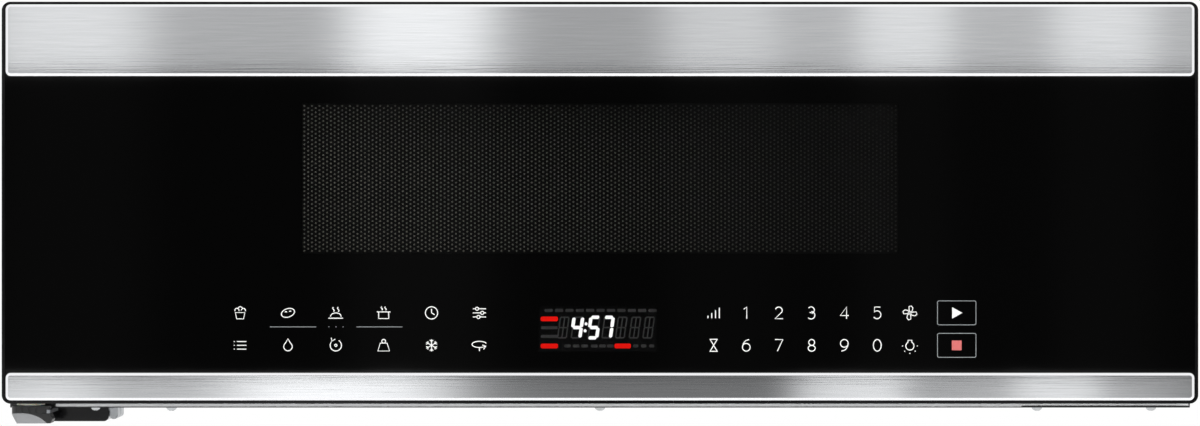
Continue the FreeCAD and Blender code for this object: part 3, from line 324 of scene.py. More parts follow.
@dataclass(frozen=True)
class ClearGlass(Surface):
    """Polished or frosted glass: see-through, glossy by its Fresnel, with a green cast towards its edges."""

    tint: str
    edge: str
    roughness: float = 0.03
    haze: float = 0.03
    smear_mm: float = 45.0

    def smear(self, add: Adder, detail: float) -> Any:
        """Draw broad faint smears."""
        place = add("ShaderNodeTexCoord")["Object"]
        scale = 1 / (self.smear_mm * MM)
        return add("ShaderNodeTexNoise", {"Vector": place, "Scale": scale, "Detail": detail})[0]

    def shader(self, add: Adder) -> Any:
        """Wire the clear glass with its gloss and haze."""
        facing = add("ShaderNodeLayerWeight", {"Blend": 0.35})["Facing"]
        colours = {0: facing, 6: linear(self.tint), 7: linear(self.edge)}
        tint = add("ShaderNodeMix", colours, data_type="RGBA")[2]
        through = add("ShaderNodeBsdfTransparent", {"Color": tint})[0]
        gloss = add("ShaderNodeBsdfGlossy", {"Roughness": self.roughness})[0]
        fresnel = add("ShaderNodeFresnel", {"IOR": 1.5})[0]
        inside = add("ShaderNodeNewGeometry")["Backfacing"]
        outside = add("ShaderNodeMath", {0: 1.0, 1: inside}, operation="SUBTRACT")[0]
        mirrored = add("ShaderNodeMath", {0: fresnel, 1: outside}, operation="MULTIPLY")[0]
        glass = add("ShaderNodeMixShader", {0: mirrored, 1: through, 2: gloss})[0]
        span = {"Value": self.smear(add, 3.0), "To Min": 0.0, "To Max": 2 * self.haze}
        amount = add("ShaderNodeMapRange", span)[0]
        milk = add("ShaderNodeBsdfDiffuse", {"Color": linear("#D8DEDC")})[0]
        return add("ShaderNodeMixShader", {0: amount, 1: glass, 2: milk})[0]


@dataclass(frozen=True)
class PrintedGlass(ClearGlass):
    """Front glass with black enamel fired on its back, but for clear rectangles (middle, half sizes, mm)."""

    windows: tuple[tuple[float, float, float, float], ...] = ()

    def shader(self, add: Adder) -> Any:
        """Wire the enamel, and the clear glass where it is left bare."""
        place = add("ShaderNodeTexCoord")["Object"]
        axes = add("ShaderNodeSeparateXYZ", {0: place})
        mask: Any = 0.0
        for x, z, half_x, half_z in self.windows:
            across = add("ShaderNodeMath", {0: axes[0], 1: x * MM, 2: half_x * MM}, operation="COMPARE")[0]
            up = add("ShaderNodeMath", {0: axes[2], 1: z * MM, 2: half_z * MM}, operation="COMPARE")[0]
            mask = add("ShaderNodeMath", {0: across, 1: up, 2: mask}, operation="MULTIPLY_ADD")[0]
        span = {"Value": self.smear(add, 4.0), "To Min": self.roughness, "To Max": 3 * self.roughness}
        rough = add("ShaderNodeMapRange", span)[0]
        enamel = add("ShaderNodeBsdfPrincipled", {"Base Color": linear("#010101"), "Roughness": rough})[0]
        return add("ShaderNodeMixShader", {0: mask, 1: enamel, 2: super().shader(add)})[0]


@dataclass(frozen=True)
class Glow(Surface):
    """Lit part of a numeral display: even, with a faint mottle of its diffuser."""

    colour: str
    strength: float

    def shader(self, add: Adder) -> Any:
        """Wire the mottled light."""
        place = add("ShaderNodeTexCoord")["Object"]
        mottle = add("ShaderNodeTexNoise", {"Vector": place, "Scale": 1 / (2 * MM)})[0]
        span = {"Value": mottle, "To Min": self.strength * 0.9, "To Max": self.strength * 1.1}
        level = add("ShaderNodeMapRange", span)[0]
        return add("ShaderNodeEmission", {"Color": linear(self.colour), "Strength": level})[0]


WINDOW = (0.0, 17.1, 189.4, 47.8)
DISPLAY_WINDOW = (-1.5, -78.5, 37.5, 14.5)
POWDER: dict[str, Any] = {"grain_mm": (2, 2, 2), "relief_mm": 0.03}
SPARKED: dict[str, Any] = {"swing": 0.08, "grain_mm": (0.8, 0.8, 0.8)}
INK: dict[str, Any] = {"swing": 0.05, "relief_mm": 0.002}

FINISHES: dict[str, Surface] = {
    # Powder paint on steel: satin, with the shallow ripple called orange peel.
    "case_paint": Finish("satin_black_powder_paint", "#2B2B2D", "#313133", 0.42, **POWDER),
    "pan_paint": Finish("light_grey_powder_paint", "#C4C5C7", "#BBBCBE", 0.4, **POWDER),
    # The pan's coat, paler on its front lip. Painted shade: a dark line along the lip's lower edge where it
    # turns under, wider at the right end. A third dark zone sits at the left end of the lip, by the hinge.
    "pan_lip": ZonedFinish(
        "pale_powder_paint_painted_shade_edge", "#DCDDDE", "#D4D5D7", 0.4, **POWDER,
        # The zone colour is painted shade along the lip's lower edge, where it turns under.
        zone_colour="#1C1C1D", zones=(
            ((0.0, -417.4, -129.95), (400.0, 0.7, 0.62), 16),
            ((325.0, -417.4, -129.5), (54.0, 0.7, 0.9), 16),
            ((-365.0, -417.4, -125.0), (15.0, 0.7, 8.0), 16),
        ),
    ),
    # The lower hinge's cap: dark ribbed body over a light grey shoe.
    "hinge_cap": ZonedFinish(
        "two_tone_hinge_cap", "#161617", "#1B1B1C", 0.45, 0.06, relief_mm=0.03,
        zone_colour="#8D8E90", zones=(((-368.0, -442.0, -144.5), (19.5, 40.0, 13.0), 2),),
    ),
    # Hot-dip zinc: grey metal in crystal patches, each with its own shine.
    "galvanised": Finish(
        "galvanised_sheet", "#B9BCBF", "#9EA2A6", 0.38, 0.12, 0.9,
        Grain.CELLS, (9, 9, 9), 0.004, (14, 14, 14), Grain.CELLS,
    ),
    # Baked oven enamel: pale warm grey, smooth, with fine pinholes.
    "cavity_paint": Finish(
        "oven_enamel", "#BDBCB8", "#B1B0AC", 0.33, grain_mm=(1.2, 1.2, 1.2), relief_mm=0.015
    ),
    # Brushed stainless steel: long level streaks. They are drawn about 1 mm high, far coarser than the
    # real grit, so that they show.
    "stainless": Finish(
        "brushed_stainless", "#D9DADC", "#C9CBCD", 0.046, 0.014, 1.0,
        grain_mm=(60, 2.0, 0.8), relief_mm=0.003, patch_mm=(30, 3.0, 0.8),
    ),
    # The same steel buffed on its bevels: bright, with faint soft smears.
    "polished_steel": Finish("polished_stainless", "#F8F8FA", "#EDEDF0", 0.1, 0.03, 1.0, relief_mm=0.002),
    # Bright zinc on screws and pins: bluish silver, dulled in spots by handling.
    "plated": Finish(
        "bright_zinc", "#C9CDD3", "#B4B5B2", 0.24, 0.1, 1.0, grain_mm=(0.8, 0.8, 0.8), patch_mm=(6, 6, 6)
    ),
    # Expanded and rolled aluminium: pale, scratched along the roll.
    "aluminium_mesh": Finish(
        "rolled_aluminium", "#D5D7D9", "#C2C4C6", 0.34, 0.1, 1.0,
        grain_mm=(30, 0.8, 0.8), patch_mm=(20, 20, 20),
    ),
    # Gloss ABS: near black, mirror-like but for a slight moulding ripple.
    "door_black": Finish(
        "gloss_black_abs", "#060607", "#09090A", 0.13, 0.03, grain_mm=(6, 6, 6), specular=0.3
    ),
    # Spark-eroded moulding texture, drawn at 0.8 mm where the real one is 0.2 mm.
    "black_plastic": Finish("grained_black_abs", "#1B1B1C", "#212122", 0.5, relief_mm=0.05, **SPARKED),
    "grey_plastic": Finish("grained_grey_abs", "#97989A", "#8D8E90", 0.48, relief_mm=0.04, **SPARKED),
    # Polypropylene and natural nylon: pale and waxy, light goes a little way in.
    "white_plastic": Finish("white_polypropylene", "#E3E2DE", "#DAD9D4", 0.42, 0.06, subsurface=0.15),
    "nylon": Finish("natural_nylon", "#E8E3D6", "#DED8C8", 0.38, 0.06, subsurface=0.3),
    # Float glass, toughened: black enamel fired on the front one's back, frosting on the lamps' lenses.
    "front_glass": PrintedGlass(
        "black_printed_glass", "#E2E2E2", "#AEB4B2", 0.01, 0.0, 60.0, windows=(WINDOW, DISPLAY_WINDOW)
    ),
    "clear_glass": ClearGlass("clear_float_glass", "#EEEFEF", "#B9C1BE", 0.01, 0.01),
    "tray_glass": ClearGlass("pressed_tray_glass", "#E6F0EB", "#8FB3A4", 0.05, 0.03),
    "lens_glass": ClearGlass("frosted_lens_glass", "#D9DEDC", "#A8B8B2", 0.3, 0.35),
    # Satin stove enamel on the perforated sheet.
    "screen_black": Finish("satin_black_stove_enamel", "#030303", "#050505", 0.45, 0.05, specular=0.15),
    # Pressed mica: warm grey flakes that overlap, each with its own sheen.
    "mica": Finish(
        "pressed_mica", "#B9AC93", "#CFC5B0", 0.35, 0.15, 0.0,
        Grain.CELLS, (5, 5, 5), 0.03, (9, 9, 9), Grain.CELLS,
    ),
    # Carbon-coated fibre mat: dull black with a coarse fibrous nap.
    "charcoal": Finish(
        "carbon_fibre_mat", "#1A1A1A", "#2A2A2B", 0.95, 0.03, grain_mm=(3, 0.7, 0.7), relief_mm=0.5
    ),
    # Solder mask over copper: green with darker tracks in small squares.
    "board": Finish(
        "circuit_board", "#1E5A34", "#174628", 0.3, 0.08, patches=Grain.CELLS, patch_mm=(4, 4, 4)
    ),
    # Smoked acrylic over the numerals: glossy, nearly black.
    "display": Finish("smoked_display_window", "#060607", "#08080A", 0.12, 0.03, grain_mm=(9, 9, 9)),
    # Varnished steel laminations, stacked along X.
    "core_steel": Finish(
        "varnished_laminations", "#4A4138", "#5B4E40", 0.35, 0.1, 0.6, Grain.LINES, (1.6, 60, 60), 0.15
    ),
    # Moulded rubber: dull black with a fine bloom.
    "rubber": Finish(
        "black_rubber", "#161616", "#1E1E1E", 0.75, 0.08, grain_mm=(0.9, 0.9, 0.9), relief_mm=0.04
    ),
    # Ceramic ink under the glass: flat, thin and slightly uneven.
    "white_print": Finish("white_ceramic_ink", "#F2F2F0", "#E8E8E6", 0.55, **INK),
    "grey_print": Finish("grey_ceramic_ink", "#94989A", "#8B8F91", 0.55, **INK),
    "red_print": Finish("coral_ceramic_ink", "#CE6A67", "#C56260", 0.55, **INK),
    # Numerals of the display: dark cells, and those that are lit.
    "unlit": Finish("unlit_segments", "#474748", "#3E3E3F", 0.4, **INK),
    "lit_white": Glow("lit_white_segments", "#FFFFFF", 1.85),
    "lit_red": Glow("lit_red_marks", "#FF1A12", 1.25),
}
_made: dict[str, Material] = {}


def finish(slot: str) -> Material:
    """Material of a slot, made the first time it is asked for."""
    if slot not in _made:
        _made[slot] = FINISHES[slot].build()
    return _made[slot]


def settle(piece: Object, body: str, slot: str, nodes: Iterable[str] = (), paint: str = "") -> None:
    """Dress a finished piece and give it to its body.

    Args:
        piece: The mesh, at the origin.
        body: The body that it rides on.
        slot: The material slot in the record.
        nodes: The nodes that it stands for.
        paint: Its finish, where that isn't the slot's own.
    """
    piece.data.materials.clear()
    piece.data.materials.append(finish(paint or slot))
    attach(piece, body)
    for node in nodes:
        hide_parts(node)
    LOG.info("%s: %d faces on %s", piece.name, len(piece.data.polygons), body)


# ---- node trees for what repeats ----------------------------------------------------------------
def open_tree(name: str, kinds: dict[str, str]) -> tuple[NodeTree, Adder, dict[str, Any]]:
    """Start a geometry tree.

    Args:
        name: The tree's name.
        kinds: Its inputs by name, each with its kind of socket.

    Returns:
        The tree, a function that adds a node to it, and its inputs' sockets by name.
    """
    tree = bpy.data.node_groups.new(name, "GeometryNodeTree")
    for label, kind in kinds.items():
        tree.interface.new_socket(label, in_out="INPUT", socket_type=f"NodeSocket{kind}")
    tree.interface.new_socket("Mesh", in_out="OUTPUT", socket_type="NodeSocketGeometry")
    given = add_node(tree, "NodeGroupInput")
    return tree, partial(add_node, tree), {label: given[label] for label in kinds}


def close_tree(add: Adder, mesh: Any, material: Any) -> None:
    """End a geometry tree: make the copies real and give them their material."""
    real = add("GeometryNodeRealizeInstances", {0: mesh})[0]
    dressed = add("GeometryNodeSetMaterial", {"Geometry": real, "Material": material})[0]
    add("NodeGroupOutput", {0: dressed})


def run_tree(base: Object, tree: NodeTree, values: dict[str, Any], name: str) -> Object:
    """Run a node tree on an object and keep the result as a plain mesh.

    Args:
        base: The object that carries the modifier.
        tree: The node tree.
        values: The tree's inputs by name.
        name: The new piece's name.

    Returns:
        The new piece.
    """
    modifier = base.modifiers.new("tree", "NODES")
    modifier.node_group = tree
    for item in tree.interface.items_tree:
        if item.in_out == "INPUT" and item.name in values:
            modifier[item.identifier] = values[item.name]
    return as_mesh(base, name)


# ---- sheets with holes --------------------------------------------------------------------------
def hole_grid_tree() -> NodeTree:
    """Node tree that lays staggered tiles beside a rim and gives the sheet its thickness."""
    sizes = dict.fromkeys(("Pitch X", "Pitch Z", "Left", "Low", "Thickness"), "Float")
    kinds = {"Rim": "Geometry", "Tile": "Object", "Columns": "Int", "Rows": "Int", "Finish": "Material"}
    tree, add, given = open_tree("staggered_holes", kinds | sizes)
    values = {"Index": add("GeometryNodeInputIndex")[0], **given}
    for name, operation, *terms in (
        ("point", "ADD", "Index", 0.5),
        ("share", "DIVIDE", "point", "Rows"),
        ("column", "FLOOR", "share"),
        ("passed", "MULTIPLY", "column", "Rows"),
        ("row", "SUBTRACT", "Index", "passed"),
        ("odd", "MODULO", "column", 2.0),
        ("across", "ADD", "column", 0.5),
        ("x", "MULTIPLY_ADD", "across", "Pitch X", "Left"),
        ("staggered", "MULTIPLY_ADD", "odd", 0.5, "row"),
        ("up", "ADD", "staggered", 0.5),
        ("z", "MULTIPLY_ADD", "up", "Pitch Z", "Low"),
        ("count", "MULTIPLY", "Columns", "Rows"),
        ("last", "SUBTRACT", "Rows", 1.5),
        ("top", "GREATER_THAN", "row", "last"),
        ("beyond", "MULTIPLY", "odd", "top"),
    ):
        inputs = {i: values.get(term, term) for i, term in enumerate(terms)}
        values[name] = add("ShaderNodeMath", inputs, operation=operation)[0]
    place = add("ShaderNodeCombineXYZ", {"X": values["x"], "Z": values["z"]})[0]
    points = add("GeometryNodePoints", {"Count": values["count"], "Position": place})[0]
    points = add("GeometryNodeDeleteGeometry", {0: points, 1: values["beyond"]}, domain="POINT")[0]
    tile = add("GeometryNodeObjectInfo", {0: given["Tile"]})["Geometry"]
    tiles = add("GeometryNodeInstanceOnPoints", {"Points": points, "Instance": tile})[0]
    tiles = add("GeometryNodeRealizeInstances", {0: tiles})[0]
    both = add("GeometryNodeJoinGeometry", {0: [tiles, given["Rim"]]})[0]
    sheet = add("GeometryNodeMergeByDistance", {0: both, "Distance": WELD})[0]
    offset = add("ShaderNodeCombineXYZ", {"Y": given["Thickness"]})[0]
    push = {"Mesh": sheet, "Offset": offset, "Offset Scale": 1.0, "Individual": False}
    raised = add("GeometryNodeExtrudeMesh", push)[0]
    back = add("GeometryNodeFlipFaces", {0: sheet})[0]
    closed = add("GeometryNodeJoinGeometry", {0: [raised, back]})[0]
    merged = add("GeometryNodeMergeByDistance", {0: closed, "Distance": WELD})[0]
    close_tree(add, merged, given["Finish"])
    return tree


@dataclass(frozen=True)
class HoleSheet:
    """Thin sheet with staggered holes, in the XZ plane, in mm. Odd columns sit half a pitch higher."""

    columns: int
    rows: int
    pitch_x: float
    pitch_z: float
    hole: tuple[Point, ...]
    left: float
    low: float
    front: float
    thickness: float
    edges: tuple[float, float, float, float]

    def quads(self, rectangles: Iterable[tuple[float, float, float, float]]) -> Object:
        """Flat mesh, facing +Y, of (x0, x1, z0, z1) rectangles that share their corners."""
        mesh = bmesh.new()
        for x0, x1, z0, z1 in rectangles:
            corners = [(x0, z0), (x0, z1), (x1, z1), (x1, z0)]
            mesh.faces.new([mesh.verts.new((x * MM, self.front * MM, z * MM)) for x, z in corners])
        bmesh.ops.remove_doubles(mesh, verts=mesh.verts, dist=WELD)
        return edited("rim", mesh)

    def tile(self) -> Object:
        """One cell with its hole, made of eight quads that face +Y."""
        a, b = self.pitch_x / 2, self.pitch_z / 2
        outside = [(a, 0), (a, b), (0, b), (-a, b), (-a, 0), (-a, -b), (0, -b), (a, -b)]
        verts = [(x * MM, self.front * MM, z * MM) for x, z in outside + list(self.hole)]
        faces = [[i, i + 8, (i + 1) % 8 + 8, (i + 1) % 8] for i in range(8)]
        return mesh_object("tile", verts, faces)

    def rim(self) -> Object:
        """Solid strips round the holes, whose points meet the tiles' points."""
        x0, x1, z0, z1 = self.edges
        right = self.left + self.columns * self.pitch_x
        top = self.low + self.rows * self.pitch_z
        half = self.pitch_z / 2
        levels = [z0] + [self.low + i * half for i in range(2 * self.rows + 1)] + [z1]
        strips = []
        for low, high in zip(levels, levels[1:]):
            if high - low > NIL:
                strips += [(a, b, low, high) for a, b in ((x0, self.left), (right, x1)) if b - a > NIL]
        for column in range(self.columns):
            for side in (0, 0.5):
                a = self.left + (column + side) * self.pitch_x
                b = a + self.pitch_x / 2
                strips += [(a, b, z0, self.low), (a, b, top, z1)]
                if column % 2:
                    strips += [(a, b, self.low, self.low + half), (a, b, top - half, top)]
        return self.quads(strips)

    def build(self, name: str, tree: NodeTree, material: Material) -> Object:
        """Run the tree and return the finished sheet."""
        tile = self.tile()
        tile.hide_render = True
        sizes = {"Pitch X": self.pitch_x, "Pitch Z": self.pitch_z, "Left": self.left, "Low": self.low}
        sizes["Thickness"] = self.thickness
        values = {label: size * MM for label, size in sizes.items()}
        values |= {"Tile": tile, "Columns": self.columns, "Rows": self.rows, "Finish": material}
        made = run_tree(self.rim(), tree, values, name)
        bpy.data.objects.remove(tile)
        return made


def round_hole(radius: float) -> tuple[Point, ...]:
    """Eight points of a round hole."""
    return tuple((radius * math.cos(i * math.pi / 4), radius * math.sin(i * math.pi / 4)) for i in range(8))


def diamond_hole(half_x: float, half_z: float) -> tuple[Point, ...]:
    """Eight points round a diamond hole: its corners and the middles of its sides."""
    corners = [(half_x, 0), (0, half_z), (-half_x, 0), (0, -half_z)]
    points = []
    for (x, z), (u, w) in zip(corners, corners[1:] + corners[:1]):
        points += [(x, z), ((x + u) / 2, (z + w) / 2)]
    return tuple(points)


@dataclass
class WindowScreen:
    """Perforated shield behind the window, made in two halves."""

    columns: int = 157
    rows: int = 35
    pitch: Point = (2.41, 2.71)
    hole_radius: float = 0.67
    low: float = -30.3

    def build(self, tree: NodeTree) -> None:
        """Make both halves over the sheet of the frame."""
        lowest, highest = box_mm("door_screen")
        left = -self.columns * self.pitch[0] / 2
        first = self.columns // 2 + self.columns // 2 % 2
        seam = left + first * self.pitch[0]
        hole = round_hole(self.hole_radius)
        depth = (lowest.y, highest.y - lowest.y)
        for name, columns, start, x0, x1 in (
            ("screen_left", first, left, lowest.x, seam),
            ("screen_right", self.columns - first, seam, seam, highest.x),
        ):
            edges = (x0, x1, lowest.z, highest.z)
            sheet = HoleSheet(columns, self.rows, *self.pitch, hole, start, self.low, *depth, edges)
            settle(sheet.build(name, tree, finish("screen_black")), "door", "screen_black", ["door_screen"])


@dataclass
class GreaseFilters:
    """Fine aluminium layers that lie on the coarse support grid of each filter."""

    pitch: Point = (6.0, 3.2)
    hole_half: Point = (2.4, 1.152)
    thickness: float = 0.5
    rail: float = 8.6
    above_grid: float = -125.9

    def build(self, tree: NodeTree) -> None:
        """Make one layer for each filter."""
        hole = diamond_hole(*self.hole_half)
        for side in ("left", "right"):
            lowest, highest = box_mm(f"grease_filter_{side}")
            sizes = (highest - lowest).xy - Vector((2 * self.rail, 2 * self.rail))
            counts = [int(size / pitch) for size, pitch in zip(sizes, self.pitch)]
            corner = [-count * pitch / 2 for count, pitch in zip(counts, self.pitch)]
            edges = (-sizes.x / 2, sizes.x / 2, -sizes.y / 2, sizes.y / 2)
            sheet = HoleSheet(*counts, *self.pitch, hole, *corner, 0.0, self.thickness, edges)
            made = sheet.build(f"filter_layer_{side}", tree, finish("aluminium_mesh"))
            middle = (lowest + highest) / 2
            place = Matrix.Translation(Vector((middle.x, middle.y, self.above_grid)) * MM)
            made.data.transform(place @ Matrix.Rotation(math.pi / 2, 4, "X"))
            settle(made, f"filter_{side}", "aluminium_mesh")


# ---- screws -------------------------------------------------------------------------------------
def scatter_tree() -> NodeTree:
    """Node tree that puts a copy of one piece at each point, each turned at random about Z."""
    kinds = {"Places": "Geometry", "Screw": "Object", "Seed": "Int", "Finish": "Material"}
    tree, add, given = open_tree("scattered_screws", kinds)
    screw = add("GeometryNodeObjectInfo", {0: given["Screw"]})["Geometry"]
    limits = {0: (0, 0, 0), 1: (0, 0, math.pi / 2), "Seed": given["Seed"]}
    turn = add("FunctionNodeRandomValue", limits, data_type="FLOAT_VECTOR")[0]
    copies = {"Points": given["Places"], "Instance": screw, "Rotation": turn}
    close_tree(add, add("GeometryNodeInstanceOnPoints", copies)[0], given["Finish"])
    return tree


@dataclass
class CaseScrews:
    """Dome-headed cross-recess screws below the base pan."""

    head_radius: float = 3.4
    head_height: float = 2.35
    head_sunk: float = 0.25
    recess_half_width: float = 0.45
    recess_reach: float = 1.9
    recess_depth: float = 1.3
    front_x: tuple[float, ...] = (-325.0, -276.0, 0.0, 281.5, 355.0)
    front_y: float = -412.0
    side_x: tuple[float, ...] = (-370.0, 370.0)
    side_y: tuple[float, ...] = (-330.0, -190.0, -50.0)

    def head(self) -> Object:
        """One head, hanging below z 0, with its recess cut by a Boolean."""
        profile = [(0.0, -self.head_height)]
        steps = 6
        for i in range(1, steps + 1):
            turn = math.pi / 2 * i / steps
            profile.append((self.head_radius * math.sin(turn), -self.head_height * math.cos(turn)))
        profile += [(self.head_radius, self.head_sunk), (0.0, self.head_sunk)]
        head = mesh_object("head", *lathe(profile, steps=24))
        cutter = bmesh.new()
        arm = (self.recess_reach, self.recess_half_width)
        for x, y in (arm, arm[::-1]):
            scale = Matrix.Diagonal((2 * x * MM, 2 * y * MM, 2 * self.recess_depth * MM, 1))
            middle = Matrix.Translation((0, 0, -self.head_height * MM))
            bmesh.ops.create_cube(cutter, size=1.0, matrix=middle @ scale)
        cross = edited("cross", cutter)
        cut = head.modifiers.new("recess", "BOOLEAN")
        cut.operation = "DIFFERENCE"
        cut.solver = "EXACT"
        cut.use_self = True
        cut.object = cross
        made = as_mesh(head, "screw_head")
        bpy.data.objects.remove(cross)
        return made

    def build(self) -> None:
        """Scatter the heads along the front and the sides."""
        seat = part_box("base_pan")[0].z
        tree = scatter_tree()
        head = self.head()
        front = [(x, self.front_y) for x in self.front_x]
        sides = [(x, y) for x in self.side_x for y in self.side_y]
        rows = (("front_screw_heads", "base_screws", front), ("side_screw_heads", "case_screws", sides))
        for seed, (name, node, places) in enumerate(rows):
            points = mesh_object("places", [(x * MM, y * MM, seat) for x, y in places])
            values = {"Screw": head, "Seed": seed, "Finish": finish("plated")}
            settle(run_tree(points, tree, values, name), "case", "plated", [node])
        bpy.data.objects.remove(head)


# ---- printed and lit marks ----------------------------------------------------------------------
ARC_STEP = 15


def arc(x: float, z: float, radius: float, start: float, end: float, squash: float = 1.0) -> list[Point]:
    """Points along an arc, in degrees from +X towards +Z; squash flattens it along Z."""
    steps = max(4, int(abs(end - start) / ARC_STEP))
    turns = [math.radians(start + (end - start) * i / steps) for i in range(steps + 1)]
    return [(x + radius * math.cos(t), z + radius * squash * math.sin(t)) for t in turns]


def rounded_rectangle(x: float, z: float, half_x: float, half_z: float, radius: float) -> list[Point]:
    """Points round a rectangle with rounded corners, given its middle and half sizes."""
    points = []
    for sx, sz, start in ((1, 1, 0), (-1, 1, 90), (-1, -1, 180), (1, -1, 270)):
        points += arc(x + sx * (half_x - radius), z + sz * (half_z - radius), radius, start, start + 90)
    return points


def wave(x: float, z: float, height: float) -> list[Point]:
    """Upright wisp of steam."""
    return [(x + 0.5 * math.sin(math.tau * i / 8), z + height * i / 8) for i in range(9)]


def turned(points: Line, degrees: float) -> list[Point]:
    """Points turned about the middle of a mark."""
    c, s = math.cos(math.radians(degrees)), math.sin(math.radians(degrees))
    return [(x * c - z * s, x * s + z * c) for x, z in points]


def moved(points: Line, x: float, z: float) -> list[Point]:
    """Points shifted by x and z."""
    return [(px + x, pz + z) for px, pz in points]


PETAL = [(0, 0.5), (1.5, 1.2), (1.9, 3.2), (0.9, 4.4), (-0.6, 4.0), (-0.5, 2.0), (0, 0.5)]
ARM = [[(0, 0), (0, 3.8)], [(-1.1, 3.4), (0, 2.3), (1.1, 3.4)]]
RAY = [(4.4, 0), (5.0, 0)]


class Mark(Enum):
    """Line pictograms of the keys, each a list of lines in mm from its middle."""

    TUB = [
        [(-3.0, 0.2), (-2.2, -3.8), (2.2, -3.8), (3.0, 0.2), (-3.0, 0.2)],
        arc(-2.0, 1.6, 1.3, -20, 200),
        arc(0.1, 2.4, 1.5, 0, 180),
        arc(2.1, 1.5, 1.3, -20, 180),
    ]
    TUBER = [
        turned(arc(0, 0, 4.3, 0, 360, 0.62), 18),
        arc(-1.3, 0.3, 0.5, 0, 180),
        arc(1.4, 0.7, 0.5, 0, 180),
    ]
    PLATE = [
        [(-4.6, -3.4), (4.6, -3.4)],
        arc(0, -2.4, 3.4, 0, 180, 0.7),
        *[wave(x, 0.8, 2.8) for x in (-1.5, 1.5)],
    ]
    POT = [
        [(-3.2, 0.3), (-3.2, -3.6), (3.2, -3.6), (3.2, 0.3)],
        [(-4.3, 0.6), (4.3, 0.6)],
        *[wave(x, 1.7, 2.2) for x in (-1.2, 1.2)],
    ]
    CLOCK = [arc(0, 0, 3.9, 0, 360), [(0, 2.5), (0, 0), (1.9, -1.1)]]
    SLIDERS = [
        line
        for z, x in ((2.6, -1.5), (0, 1.8), (-2.6, -0.6))
        for line in ([(-4.2, z), (x - 1, z)], arc(x, z, 1, 0, 360), [(x + 1, z), (4.2, z)])
    ]
    LIST = [line for z in (2.4, 0, -2.4) for line in ([(-4, z), (-3.4, z)], [(-2, z), (4, z)])]
    DROP = [[(0, 4.2), (1.5, 1.6), *arc(0, -0.8, 2.7, 40, -220), (-1.5, 1.6), (0, 4.2)]]
    CYCLE = [arc(0, 0, 3.6, 60, -220), [(-0.4, 3.9), (-2.6, 2.6), (-2.9, 4.9)], arc(0, 0, 0.7, 0, 360)]
    WEIGHT = [[(-2.2, 1.4), (2.2, 1.4), (3.7, -3.6), (-3.7, -3.6), (-2.2, 1.4)], arc(0, 2.6, 1.2, 0, 360)]
    FLAKE = [turned(line, 60 * i) for i in range(6) for line in ARM]
    TABLE = [arc(0, 0.6, 4.7, 20, 330, 0.42), [(2.6, -2.6), (4.2, -0.5), (1.8, 0.2)], [(0, -1.6), (0, -3.6)]]
    LEVEL = [[(-3.6 + 2.4 * i, -3.4), (-3.6 + 2.4 * i, -1.8 + 1.7 * i)] for i in range(4)]
    GLASS = [[(-2.6, z), (2.6, z)] for z in (3.8, -3.8)] + [[(x, 3.7), (-x, -3.7)] for x in (-2.2, 2.2)]
    FAN = [turned(PETAL, 90 * i) for i in range(4)]
    LAMP = [
        arc(0, -0.4, 2.6, 120, 420),
        [(-1.2, 1.9), (-1.2, 3.2), (1.2, 3.2), (1.2, 1.9)],
        *[moved(turned(RAY, degrees), 0, -0.4) for degrees in (0, -45, -90, -135, 180)],
    ]


